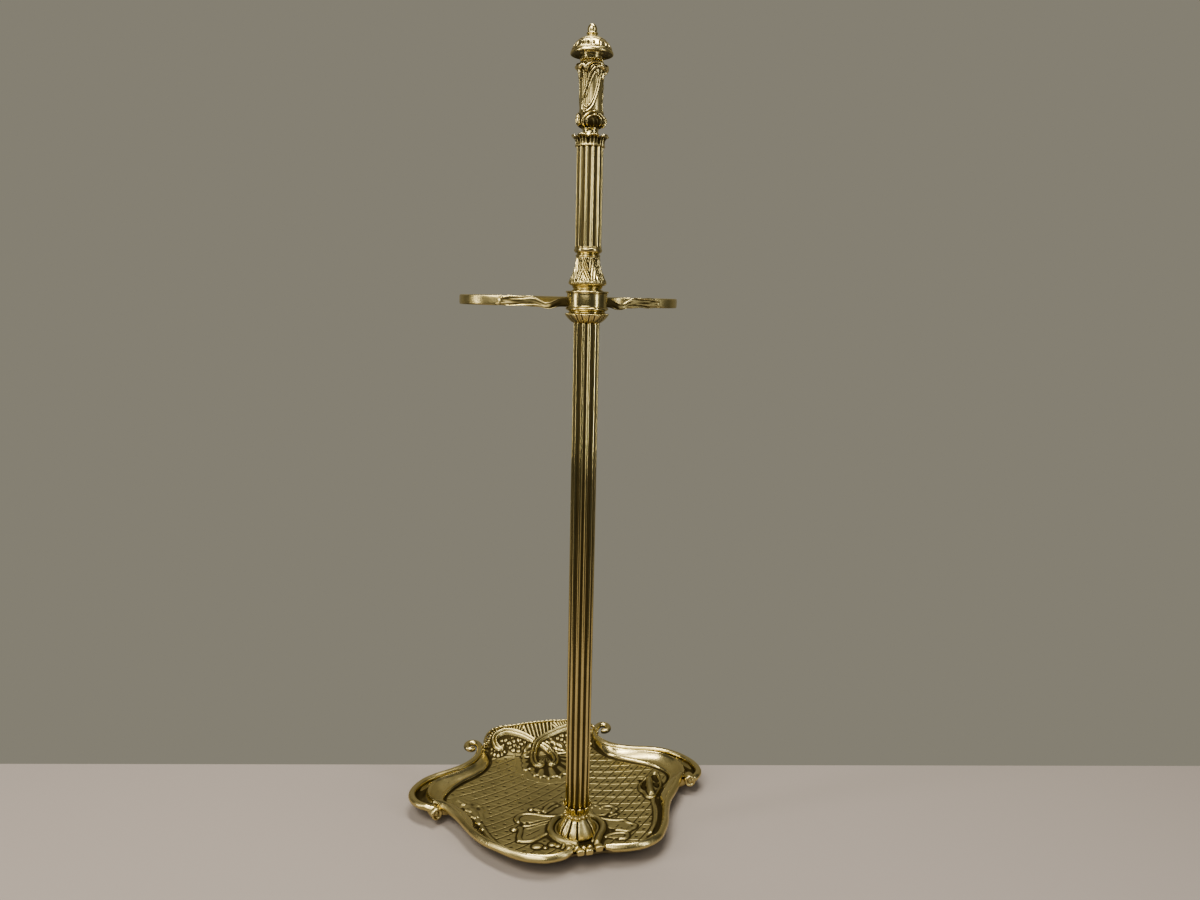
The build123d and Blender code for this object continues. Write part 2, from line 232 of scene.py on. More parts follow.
def sweep(name, path, section, material, scale):
    """Section (sideways, up) carried along a path of (x, y, z); scale has one factor per point."""
    path = np.array(path, float)
    n = len(path)
    tangent = np.gradient(path, axis=0)
    tangent /= np.linalg.norm(tangent, axis=1)[:, None]
    side = np.cross(tangent, (0.0, 0.0, 1.0))
    side /= np.linalg.norm(side, axis=1)[:, None]
    lift = np.cross(side, tangent)
    factor = np.array(scale, float)
    points = (path[:, None, :] + factor[:, None, None] * (section[None, :, 0, None] * side[:, None, :] +
        section[None, :, 1, None] * lift[:, None, :]))
    m = len(section)
    faces = grid_faces(n, m, wrap_columns=True).tolist()
    faces.append(list(range(m))[::-1])
    faces.append(list(range((n - 1) * m, n * m)))
    # Painted shade on the lower side of the section and painted highlight along its top.
    centre = section.mean(0)
    low = unit((centre[1] - section[:, 1]) / 3.0) * 0.6
    low = low - 0.7 * smooth(0.75, 1.0, (section[:, 1] - centre[1]) / (section[:, 1].max() - centre[1]))
    return new_mesh(name, points.reshape(-1, 3), faces, np.tile(low, n), material)


# ---- Materials ----

def brass(name, bright, dark, patina_and_shade_strength=0.6, rough=0.24, grain=0.25, tarnish=0.35, rub_and_highlight=0.6):
    """Aged brass; a per-point attribute is above 0 in hollows, which are darkened with patina and painted
    shade, and below 0 on raised edges, which are lightened as rubbed wear and painted highlight.
    """
    material = bpy.data.materials.new(name)
    material.use_nodes = True
    nodes, links = material.node_tree.nodes, material.node_tree.links
    nodes.clear()
    out = nodes.new("ShaderNodeOutputMaterial")
    shader = nodes.new("ShaderNodeBsdfPrincipled")
    shader.inputs["Metallic"].default_value = 1.0
    links.new(shader.outputs[0], out.inputs["Surface"])
    place = nodes.new("ShaderNodeTexCoord")

    def noise(scale, detail):
        texture = nodes.new("ShaderNodeTexNoise")
        texture.inputs["Scale"].default_value = scale
        texture.inputs["Detail"].default_value = detail
        texture.inputs["Roughness"].default_value = 0.6
        links.new(place.outputs["Object"], texture.inputs["Vector"])
        return texture.outputs["Fac"]

    def math_node(kind, a, b=None, clamp=False):
        node = nodes.new("ShaderNodeMath")
        node.operation = kind
        node.use_clamp = clamp
        for socket, value in zip(node.inputs, (a, b)):
            if value is None:
                continue
            if isinstance(value, (int, float)):
                socket.default_value = value
            else:
                links.new(value, socket)
        return node.outputs[0]

    def ramp(value, low, high, start=0.0, end=1.0):
        node = nodes.new("ShaderNodeMapRange")
        node.interpolation_type = "SMOOTHSTEP"
        node.inputs["From Min"].default_value = low
        node.inputs["From Max"].default_value = high
        node.inputs["To Min"].default_value = start
        node.inputs["To Max"].default_value = end
        links.new(value, node.inputs["Value"])
        return node.outputs[0]

    def mix(fac, a, b):
        node = nodes.new("ShaderNodeMix")
        node.data_type = "RGBA"
        links.new(fac, node.inputs["Factor"])
        for socket, value in ((node.inputs["A"], a), (node.inputs["B"], b)):
            if isinstance(value, tuple):
                socket.default_value = (*value, 1)
            else:
                links.new(value, socket)
        return node.outputs["Result"]

    shade_and_wear = nodes.new("ShaderNodeAttribute")
    shade_and_wear.attribute_name = "shade_and_wear"
    blotch = noise(38, 5)
    fine = noise(420, 4)
    streak = noise(160, 3)
    hollow = math_node("ADD", shade_and_wear.outputs["Fac"], math_node("MULTIPLY", math_node("SUBTRACT", fine, 0.5),
        0.35))
    # Patina and painted shade: hollows are mixed towards the dark colour.
    patina_and_shade = math_node("MULTIPLY", ramp(hollow, 0.12, 0.85), patina_and_shade_strength)
    duller = tuple(0.62 * b + 0.38 * d for b, d in zip(bright, dark))
    metal = mix(math_node("MULTIPLY", ramp(blotch, 0.42, 0.72), tarnish), bright, duller)
    speck = math_node("MULTIPLY", ramp(noise(700, 3), 0.60, 0.74), 0.45 * tarnish)
    metal = mix(speck, metal, dark)
    # Rubbed wear and painted highlight: raised edges are mixed towards a lighter colour.
    rubbed_and_lit = tuple(min(0.95, 1.28 * b + 0.05) for b in bright)
    wear_and_highlight = math_node("MULTIPLY", ramp(math_node("MULTIPLY", shade_and_wear.outputs["Fac"], -1.0), 0.08, 0.6), rub_and_highlight)
    metal = mix(wear_and_highlight, metal, rubbed_and_lit)
    colour = mix(patina_and_shade, metal, dark)
    links.new(colour, shader.inputs["Base Color"])
    roughness = math_node("ADD", ramp(blotch, 0.3, 0.75, rough - 0.06, rough + 0.10),
        math_node("MULTIPLY", patina_and_shade, 0.32))
    roughness = math_node("SUBTRACT", roughness, math_node("MULTIPLY", wear_and_highlight, 0.5 * rough))
    links.new(roughness, shader.inputs["Roughness"])
    bump = nodes.new("ShaderNodeBump")
    bump.inputs["Strength"].default_value = grain
    bump.inputs["Distance"].default_value = 0.0004
    links.new(math_node("ADD", fine, math_node("MULTIPLY", streak, 0.6)), bump.inputs["Height"])
    links.new(bump.outputs[0], shader.inputs["Normal"])
    return material


def steel(name):
    """Plain dull steel with a fine mottle in colour and roughness."""
    material = bpy.data.materials.new(name)
    material.use_nodes = True
    nodes, links = material.node_tree.nodes, material.node_tree.links
    shader = nodes["Principled BSDF"]
    shader.inputs["Metallic"].default_value = 1.0
    place = nodes.new("ShaderNodeTexCoord")
    texture = nodes.new("ShaderNodeTexNoise")
    texture.inputs["Scale"].default_value = 300
    ramp = nodes.new("ShaderNodeValToRGB")
    ramp.color_ramp.elements[0].color = (0.20, 0.19, 0.17, 1)
    ramp.color_ramp.elements[1].color = (0.42, 0.41, 0.39, 1)
    links.new(place.outputs["Object"], texture.inputs["Vector"])
    links.new(texture.outputs["Fac"], ramp.inputs[0])
    links.new(ramp.outputs[0], shader.inputs["Base Color"])
    rough = nodes.new("ShaderNodeMapRange")
    rough.inputs["To Min"].default_value = 0.35
    rough.inputs["To Max"].default_value = 0.55
    links.new(texture.outputs["Fac"], rough.inputs["Value"])
    links.new(rough.outputs[0], shader.inputs["Roughness"])
    return material


GOLD = (0.60, 0.50, 0.235)
OLIVE = (0.42, 0.355, 0.165)
# BROWN is mixed into hollows as patina and painted shade.
BROWN = (0.045, 0.032, 0.011)
cast_brass = brass("cast_brass", GOLD, BROWN, patina_and_shade_strength=0.95, rough=0.30)
# The floor's OLIVE copy of the cast brass is darker, partly as heavier tarnish and partly as painted shade.
floor_brass = brass("tray_floor_brass", OLIVE, BROWN, patina_and_shade_strength=0.95, rough=0.42, tarnish=0.6, rub_and_highlight=0.22)
tube_brass = brass("drawn_brass", GOLD, BROWN, patina_and_shade_strength=0.9, rough=0.15, grain=0.05, tarnish=0.45, rub_and_highlight=0.3)
turned_brass = brass("turned_brass", GOLD, BROWN, patina_and_shade_strength=0.7, rough=0.25, grain=0.06)
shell_brass = brass("shell_brass", (0.50, 0.42, 0.195), BROWN, patina_and_shade_strength=0.95, rough=0.36, rub_and_highlight=0.3)
dull_steel = steel("steel")


# ---- Tray: plan ----

# Middle of the rail from the front beads outwards, then from the corner to the back curl
FRONT_RIGHT = [(15.5, 6.2), (26, 3.8), (35, 2.6), (46, 2.4), (56.5, 4.8), (68.3, 11.4), (76.6, 22.8),
    (83.4, 34.9), (90.8, 54), (98.4, 70.4), (107.6, 83.2), (116, 94.6), (121.5, 103.5), (128, 112.5)]
FRONT_LEFT = [(-14.5, 7.2), (-24, 3.6), (-33, 2.3), (-41, 2.7), (-49.3, 5.4), (-57.2, 9), (-64.6, 14.4),
    (-71.6, 21.8), (-79, 30.2), (-88.6, 43), (-96.4, 57), (-101.6, 71.5), (-107, 87.5), (-114, 101.5),
    (-120.5, 111), (-127.5, 118.5)]
SIDE_RIGHT = [(134, 103.5), (140, 105.5), (145.8, 112), (148, 121), (147, 131), (143.2, 141.5),
    (137.5, 151), (129.6, 160), (119, 167.4), (107, 172), (93, 176.4), (78.5, 183.8), (68.5, 193.5),
    (63, 203.5), (61.2, 212)]
SIDE_LEFT = [(-127, 109), (-133, 111), (-139.5, 115.8), (-144.8, 123.5), (-147.2, 133), (-145.8, 142),
    (-140.8, 151), (-132, 160), (-121.5, 165.8), (-111.5, 169.6), (-100.5, 174), (-89.5, 180), (-80.5, 188),
    (-74.3, 197), (-70.5, 207)]
CURL_RIGHT = [(61.2, 212, 20.3), (62.8, 220.5, 21), (67.2, 228.6, 22), (73, 232.4, 22.4),
    (78.6, 229.8, 22.2), (79.4, 223.6, 21.4), (75.2, 220.6, 20.6), (71.6, 222.8, 20)]
CURL_LEFT = [(-70.5, 207, 20.3), (-69.2, 213.4, 20.8), (-70.2, 219.8, 21.4), (-74.6, 224, 21.8),
    (-80.4, 223.4, 21.6), (-82.8, 218, 20.8), (-79.4, 213.6, 20), (-75.4, 215.4, 19.6)]
SHELL_EDGE = [(64, 213.5, 21.5), (62.3, 222, 23.6), (58, 230, 25.6), (50.5, 236.6, 27), (41, 239.6, 27.3),
    (31, 239.6, 27.3), (23, 240, 27.4), (14, 240.8, 27.8), (6, 240.6, 27.9), (0, 240.8, 28)]
# Where the flat floor meets the hollow wall
FLOOR_RIGHT = [(0, 25), (12, 23), (30, 17.5), (48, 18), (63, 26), (73, 38), (79.5, 54), (85, 73),
    (91.5, 90), (101, 104), (112, 115), (116.5, 126), (113, 137.5), (104, 148), (90, 158.4), (76, 168.6),
    (65.5, 179.5), (59.5, 192), (56, 203), (44, 205), (22, 200), (0, 198)]
FLOOR_LEFT = [(-22, 200), (-44, 205), (-57, 207), (-60.6, 192), (-68, 178.4), (-81, 166.4), (-94.5, 157.6),
    (-106, 147.2), (-113.6, 136.4), (-114.5, 125), (-108, 113), (-98.5, 101), (-91.5, 87), (-86.5, 72),
    (-81, 56), (-73.5, 41), (-63.5, 28.5), (-48, 20), (-30, 18.5), (-12, 23)]
# Top of the hollow wall, which leaves the rail near the corner
LIP_RIGHT = [(0, 9), (14, 9.8), (26, 6.6), (35, 5.4), (45.5, 5), (55, 7.6), (66, 14.4), (73.8, 25),
    (80.5, 37), (87.8, 56), (95.6, 72.6), (105, 86), (114, 98.5), (124, 107), (131, 114.5), (134.2, 126.4),
    (132.8, 138.3), (128, 149), (119.5, 159), (107, 166), (92, 171.5), (76.5, 179.6), (66, 190.5),
    (60.5, 202), (58.4, 213), (53, 228), (38, 234), (0, 236)]
LIP_LEFT = [(-38, 234), (-55, 228), (-64.5, 214), (-67.6, 202.8), (-72.4, 190.6), (-79, 181.2),
    (-91.7, 172.4), (-107.3, 165), (-120.1, 158.8), (-127.2, 151.7), (-130.6, 142.8), (-131, 133.5),
    (-128.7, 125.1), (-122, 116), (-111.5, 106.5), (-104, 90), (-98.6, 73.5), (-93.4, 59), (-85.8, 45.6),
    (-76.4, 32.6), (-69.4, 24), (-62.6, 16.8), (-55.6, 11.6), (-48, 8), (-40.6, 5.4), (-32.6, 5),
    (-24, 6.4), (-14, 10)]


def shell_slope(y):
    """Height of the ground of the shell at plan position y."""
    return FLOOR + 18.5 * np.clip((y - 197) / 45, 0, 1.1) ** 1.25


GRID = 0.5
X, Y = np.meshgrid(np.arange(-152, 152 + GRID, GRID), np.arange(-1, 247, GRID))
edge_right = curve(SHELL_EDGE, step=0.6)
edge = np.concatenate([mirrored(edge_right), edge_right[::-1][1:]])

clip_curve = curve([(0, 6.5)] + FRONT_RIGHT[:-1] + SIDE_RIGHT[1:] + [(61.8, 216)] +
    [p[:2] for p in SHELL_EDGE[1:]] + [(-p[0], p[1]) for p in SHELL_EDGE[-2:0:-1]] + [(-66, 216)] +
    SIDE_LEFT[:0:-1] + FRONT_LEFT[-2::-1], closed=True)
floor_curve = curve(FLOOR_RIGHT + FLOOR_LEFT, closed=True)
lip_curve = curve(LIP_RIGHT + LIP_LEFT, closed=True)

in_clip = inside(X, Y, clip_curve)
in_floor = inside(X, Y, floor_curve)
in_lip = inside(X, Y, lip_curve) & in_clip
d_floor = path_field(X, Y, floor_curve, 48, closed=True)[0]
d_lip = path_field(X, Y, lip_curve, 60, closed=True)[0]
d_clip = path_field(X, Y, clip_curve, 30, closed=True)[0]
climb = np.where(in_floor, 0, d_floor / (d_floor + d_lip + 1e-6))
climb = np.where(in_lip | in_floor, climb, 1)

side_weight = smooth(60, 68, abs(X)) * smooth(100, 116, Y)
back_weight = smooth(194, 203, Y) * (1 - smooth(55, 62, abs(X)))
dish = 0.8 * unit(abs(X) / 85) ** 2
step_up = 2.4 * smooth(0.2, 2.2, d_floor)
bead_line = 0.7 * bump(d_floor - 2.9, 0.9)
side_wall = FLOOR + 0.4 + step_up + bead_line + 7.2 * climb ** 2.1
front_wall = FLOOR + 0.6 + 9.2 * climb ** 1.7
gap = d_lip / (d_lip + d_clip + 1e-6)
trench = smooth(1.2, 7.0, d_lip + d_clip)
hollow = 19.4 - (2.6 + 4.4 * trench) * np.sin(np.pi * unit(gap * 1.1)) ** 0.55 * smooth(0.3, 2.0, d_lip +
    d_clip)
side_wall = np.where(~in_lip & ~in_floor, hollow, side_wall)
wall = front_wall * (1 - side_weight) + side_wall * side_weight
height = np.where(in_floor, FLOOR + dish, wall)
height = np.where(back_weight > 0, height * (1 - back_weight) + shell_slope(Y) * back_weight, height)

# The broad top of the front rail near the corner
for points in ([(-124, 116), (-114, 109.5), (-105.5, 96), (-100, 81), (-95.5, 66)],
        [(125, 110), (116, 103), (107, 91.5), (98.5, 80), (92.5, 67)]):
    d, along, total = path_field(X, Y, curve(points), 9)
    flat_top = 19.4 - 1.2 * (d / 4.5) ** 2
    reach = 4.6 * smooth(-2, 14, total - along)
    height = np.where(d < reach, np.maximum(height, flat_top), height)
base_height = height.copy()


# ---- Tray: relief ----

relief = np.zeros_like(height)
flat_mask = np.ones_like(height)            # where the lattice shows
# Painted shade over the relief: dark in grooves and round raised work; below 0 it is painted highlight.
painted_shade = np.zeros_like(height)


def raise_to(field):
    """Raise the relief to a field wherever the field is above nothing."""
    global relief
    relief = np.where(field > 0.02, np.maximum(relief, field), relief)


def dome(x, y, radius, lift, stretch=1.0):
    return lift * cap(((X - x) ** 2 + ((Y - y) * stretch) ** 2) / radius ** 2)


def ridge(points, width, lift, power=0.5):
    """Rounded ridge along a smooth path, tapered at both ends, as a field of extra height."""
    d, along, total = path_field(X, Y, curve(points, step=0.7), width)
    shape = unit(1 - (d / width) ** 2) ** power
    return lift * shape * smooth(-0.4 * width, width, along) * smooth(-0.4 * width, width, total - along)


# Flutes of the shell: broad in the middle, fine round the curls of the scrolls
MIDDLE_SCROLL_LEFT = [(-43, 214.5), (-45.3, 211.6), (-48.6, 212.6), (-50.9, 216.4), (-51.8, 220.6),
    (-50.9, 225.4), (-48.2, 228.9), (-43.3, 231.3), (-37.2, 232.2), (-30.4, 231), (-23.8, 228.4),
    (-17.2, 224.6), (-11.9, 220.2), (-7.5, 216.2), (-3.6, 213), (1, 209.4), (5, 204.4), (8.2, 197.1),
    (9.6, 189.4), (9.2, 182.8), (6.4, 177), (3, 174.8), (0.6, 176.8), (1.6, 180.2)]
MIDDLE_SCROLL_RIGHT = [(43, 214.5), (45.3, 211.6), (48.6, 212.6), (50.9, 216.4), (51.8, 220.6),
    (50.9, 225.4), (48.2, 228.9), (43.3, 230.8), (37, 230.6), (30, 228.9), (23, 227.6), (16.3, 225.5),
    (9.5, 223), (3.1, 219.8), (-1.7, 216.9), (-5.5, 213.2), (-8.6, 208.8), (-11.3, 202.9), (-13.4, 196),
    (-14.7, 187), (-14.4, 180), (-12, 175.6), (-8.4, 175.4), (-6.4, 178.6), (-8.4, 181.8)]
scroll_field = np.zeros_like(height)
scroll_groove = np.zeros_like(height)
scroll_near = np.full(height.shape, 12.0)
for order, points in enumerate((MIDDLE_SCROLL_LEFT, MIDDLE_SCROLL_RIGHT)):
    d, along, total = path_field(X, Y, curve(points, step=0.7), 12)
    taper = smooth(-3, 11, along) * smooth(-3, 11, total - along)
    apart = 0.55 + 1.45 * taper
    wide = 1.05 + 0.60 * taper
    twin = cap((abs(d - apart) / wide) ** 2)
    bed = smooth(apart + wide + 0.2, apart, d)
    profile = 1.5 * bed + 2.1 * twin
    if order == 1:
        clear = smooth(apart + wide + 0.9, apart + wide, d)
        scroll_field *= 1 - clear
        scroll_groove *= 1 - clear
    scroll_field = np.maximum(scroll_field, profile + 0.8 * order * bed * np.exp(-((X + 4) ** 2 + (Y - 213)
        ** 2) / 90))
    scroll_groove = np.maximum(scroll_groove, smooth(apart * 0.40, 0.0, d) * bed)
    scroll_near = np.minimum(scroll_near, d - apart - wide)
d_edge = path_field(X, Y, edge[:, :2], 40)[0]
fan_y = 150.0                               # where the lines of the shell flutes meet
middle_flute = abs(np.sin(np.arctan2(X, Y - fan_y) * 62)) ** 0.7
fine_flute = abs(np.sin(np.arctan2(abs(X) - 34, Y - 214) * 27)) ** 0.7
flank = smooth(15, 19, abs(X))
flutes = middle_flute * (1 - flank) + fine_flute * flank
shell_zone = smooth(204, 210, Y) * smooth(0.0, 1.0, scroll_near) * (1 - (abs(X) > 17) *
    smooth(9.5, 12, d_edge))
relief -= (2.0 - 0.7 * flank) * (1 - flutes) * shell_zone
# Painted shade in the troughs of the shell's flutes.
painted_shade += 0.8 * smooth(0.55, 0.15, flutes) * shell_zone

# Palmette behind the heart
PALMETTE = [(8, 221), (16.3, 214.5), (18.4, 210.1), (21, 207.2), (22.4, 204), (25.6, 201), (25.2, 196),
    (26.8, 191), (26, 186), (28.6, 181), (27.2, 177), (29, 173.6), (26, 170.2), (21.6, 171.2), (21.8, 166),
    (20, 162), (20.4, 157.4), (15.8, 157), (14.6, 152.6), (10, 153.4), (6.4, 147.8), (3, 150.4), (0, 150.4)]
palm_right = curve(PALMETTE, step=0.4)
palmette_curve = np.concatenate([palm_right, mirrored(palm_right)[::-1][1:]])
in_palm = inside(X, Y, palmette_curve)
d_palm = path_field(X, Y, palmette_curve, 14, closed=True)[0]
angle = np.arctan2(X, 197 - Y)
ribs = np.cos(angle * 19)
heart_open = inside(X, Y, curve([(-2, 209), (5, 199), (7, 188), (5, 180), (-3, 178), (-10, 181),
    (-11.5, 190), (-9, 201)], closed=True))
leaf_body = 0.9 + 0.7 * bump(d_palm - 1.0, 0.9) - 0.7 * smooth(1.6, 6, d_palm) + 0.35 * ribs * smooth(1, 3,
    d_palm)
leaf_body = np.where(Y > 196, 1.6 + 0.8 * np.cos(angle * 9) * np.cos(d_palm * 0.9), leaf_body)
raise_to(np.where(in_palm & ~heart_open, np.maximum(leaf_body, 0.25), 0))
# Painted shade between the palmette's ribs and over its inner part.
painted_shade += 0.6 * in_palm * smooth(2.0, 5.0, d_palm) * smooth(0.2, -0.7, ribs) * (Y < 196)
painted_shade += 0.35 * in_palm * smooth(3.0, 7.0, d_palm) * (Y < 196)
border = 0.35 * bump(d_palm - 7.6, 1.0) * ~in_palm * (Y < 206)
relief += border
raise_to(scroll_field)
# Painted shade in the grooves of the scrolls and along their outer edges.
painted_shade += 0.95 * scroll_groove
painted_shade += 0.75 * smooth(1.8, 0.2, scroll_near) * (scroll_near > 0) * (Y > 160)

# Leaf scales inside the scrolls and the fringe of small lobes below them
SCALES = [(35.7, 218.6, 3.4), (31, 220.6, 3.0), (35.6, 213.6, 2.8), (30, 215, 3.0), (33, 209.6, 2.8),
    (27, 212.6, 2.9), (39.6, 214.6, 2.4), (24, 221.4, 3.6), (19, 218.4, 2.8), (27.6, 208, 2.6),
    (39, 222.5, 2.6), (43.5, 222.5, 2.2), (23, 216.4, 2.6), (31.4, 224.2, 2.2), (14.7, 219.8, 2.2)]
FRINGE = [(63, 214.6, 2.3), (60.4, 211.4, 2.5), (57.4, 208.8, 2.6), (54, 206.4, 2.7), (50.2, 204.8, 2.7),
    (46.4, 205.6, 2.6), (43, 208.2, 2.4), (56.6, 212.8, 2.3), (53.4, 210.2, 2.2), (49.6, 208.8, 2.0),
    (59.6, 216.4, 2.0)]
for side in (-1, 1):
    for x, y, radius in SCALES + FRINGE:
        # Painted shade outlining each scale and lobe.
        outline_at = np.hypot(X - side * x, Y - y) - radius
        painted_shade += 0.55 * bump(outline_at, 0.8) * (scroll_near > 0)
    for x, y, radius in SCALES:
        raise_to(dome(side * x, y, radius, 0.8, 0.9) * (scroll_near > 0.2) *
            (1 - 0.5 * bump(X - side * x, 0.5)))
    for x, y, radius in FRINGE:
        raise_to(dome(side * x, y, radius, 1.5, 0.95))
fringe_near = np.minimum(np.hypot(abs(X) - 53, (Y - 209) * 1.3), 30)
# Painted shade round the fringe of lobes.
painted_shade += 0.5 * smooth(11, 7, fringe_near) * (relief < 0.4)
flat_mask *= 1 - smooth(199, 202, Y)
flat_mask *= ~(in_palm | (d_palm < 9.0))
flat_mask *= (scroll_near > 1) * smooth(10, 12, fringe_near)

# Leaf scrolls round the foot of the column
FOOT_STROKES = [([(-10.8, 79.9), (-17.8, 80.7), (-25.3, 83.3), (-32.6, 87.4), (-40.2, 90), (-46.6, 89.4),
    (-51, 85.2), (-51.4, 79.6), (-48.8, 77.4)], 2.0, 2.6), ([(-13, 76), (-22, 77.6), (-29, 81.4),
    (-36, 83.6), (-43, 84)], 1.1, 1.3), ([(-32.3, 98.2), (-29, 95), (-25.5, 91.5)], 2.4, 2.4),
    ([(-26, 90.6), (-22.4, 92.4), (-20, 95.8), (-15.2, 100.6), (-9.4, 103.4)], 2.0, 2.4),
    ([(-24, 88), (-17, 92.5), (-11, 97), (-6.4, 98.6)], 1.6, 1.8), ([(-16, 75.4), (-20.3, 74),
    (-28.5, 72.6), (-36.9, 70.6), (-44, 70), (-48, 72)], 1.5, 2.2), ([(-17, 71.6), (-22, 70.2), (-31, 68.6),
    (-40.4, 65.8), (-46.5, 65.4)], 1.3, 1.8), ([(-50.6, 70.5), (-51.4, 63), (-54.2, 55), (-54.4, 48.6),
    (-50.3, 46.4), (-44.2, 46), (-37.4, 49.3), (-30.8, 52.8), (-25, 53.4)], 2.0, 2.6),
    ([(-50, 52), (-46, 50.4), (-40, 51.6), (-33, 54.8)], 1.0, 1.1), ([(22.4, 92.3), (21.2, 84), (21.1, 77),
    (23.3, 70.9)], 1.8, 2.6), ([(23.2, 84), (25.6, 88.2), (28.6, 88.6), (31, 84.8), (31.6, 80.6)], 1.8,
    2.4), ([(32, 83), (36.4, 85.6), (41.9, 84.8), (45, 81), (43.4, 76), (38.4, 72.4)], 2.0, 2.5),
    ([(25.6, 67.6), (34.5, 62.4), (42, 59.7), (48.2, 58.7), (50.6, 54), (55.3, 49.6), (55.8, 45.6),
    (51.9, 43.4), (46.3, 40.9), (41.7, 43), (35.5, 46)], 1.9, 2.5), ([(28, 62), (35.5, 57.4), (43, 54.8),
    (48.6, 50.5)], 1.1, 1.2), ([(22.5, 35.6), (28.9, 38.9), (36.1, 39.6), (42.8, 38.2), (44.8, 34),
    (41.3, 30.4), (34.7, 31.3)], 1.8, 2.4), ([(28.6, 34.4), (33, 35.4), (38, 34.6)], 1.1, 1.0),
    ([(46, 71), (41, 70), (35.5, 68)], 1.4, 1.5),]
near_foot = np.full(height.shape, 9.0)
for leaf in ([(-12, 80), (-24, 83), (-38, 89), (-48, 87), (-51, 80), (-46, 74), (-30, 74), (-16, 75)],
        [(-17, 72), (-34, 69), (-48, 68), (-52, 58), (-54, 49), (-46, 46), (-32, 52), (-22, 56)],
        [(21, 72), (22, 90), (29, 88), (36, 85), (44, 81), (40, 73), (30, 70)],
        [(24, 67), (38, 61), (48, 58), (55, 48), (50, 42), (40, 43), (28, 50)],
        [(23, 36), (36, 39), (44, 36), (40, 30), (28, 32)]):
    around = curve(leaf, closed=True, step=1.5)
    depth = np.where(inside(X, Y, around), path_field(X, Y, around, 8, closed=True)[0], 0)
    raise_to(0.75 * smooth(0, 3.0, depth))
for points, width, lift in FOOT_STROKES:
    raise_to(ridge(points, 1.12 * width, 0.62 * lift, 0.6))
    near_foot = np.minimum(near_foot, path_field(X, Y, curve(points, step=2.0), 9.0)[0] - width)
FOOT_BLOBS = [(-56.8, 67, 3.4, 2.8, 1.2), (-51.6, 68.6, 2.2, 2.0, 1.0), (-56, 48.4, 2.0, 2.4, 1.0),
    (-40.8, 36.8, 5.4, 2.2, 1.45), (-26.6, 36.4, 4.0, 2.0, 1.3), (-22, 33.4, 3.2, 1.7, 1.3),
    (-34, 33.5, 2.2, 1.4, 1.0), (-34.6, 96.6, 2.8, 2.6, 1.1), (-28.5, 89.7, 2.4, 2.4, 1.0),
    (46.6, 78.6, 2.2, 2.2, 1.0), (56.6, 47.4, 2.4, 2.6, 1.0), (45, 36, 2.2, 2.4, 1.0)]
for x, y, radius, lift, stretch in FOOT_BLOBS:
    raise_to(dome(x, y, radius, 0.7 * lift, stretch))
    near_foot = np.minimum(near_foot, np.hypot(X - x, Y - y) - radius)
for points in ([(-5, 77), (-13, 75), (-19.6, 68), (-23.6, 59.5), (-24, 51), (-20.6, 42.6), (-15.8, 36),
        (-9, 31.2), (-3, 28.6)], [(6, 77), (14.5, 74.2), (21, 68), (25, 61), (26, 53.4), (23.8, 46),
        (19.2, 38.6), (15.4, 31.6), (12.6, 25)]):
    raise_to(ridge(points, 3.0, 4.6, 0.4))
    shrunk = [(x * 0.80, 52 + (y - 52) * 0.80) for x, y in points]
    raise_to(ridge(shrunk, 1.6, 2.8))
for x, y, radius, lift in ((-13.5, 25.8, 3.6, 3.4), (-6.6, 23.4, 3.2, 3.8), (-0.4, 22.6, 2.4, 3.2),
        (5.6, 23, 2.8, 3.2), (17, 16.6, 3.4, 3.4), (22.4, 16, 3.0, 2.6)):
    raise_to(dome(x, y, radius, lift, 1.1))
raise_to(ridge([(-19, 29), (-15, 31), (-10.6, 28.4), (-9, 23.8)], 1.4, 4.0))
flat_mask *= smooth(1.0, 4.0, near_foot)
flat_mask *= 1 - (np.hypot(X, (Y - 56) * 0.85) < 34)
foot_zone = smooth(50, 20, np.hypot(X, (Y - 66) * 1.05)) * (Y > 18)
# Painted shade around the foot's leaf scrolls, along their edges and in a ring round the column's base.
painted_shade += 0.30 * foot_zone * (relief < 0.5)
painted_shade += 0.45 * smooth(2.2, 0.4, near_foot) * (relief < 0.6)
painted_shade += 0.8 * smooth(25, 21, np.hypot(X, Y - 51.5)) * (relief < 1.2) * smooth(16, 18,
    np.hypot(X, Y - 51.5))

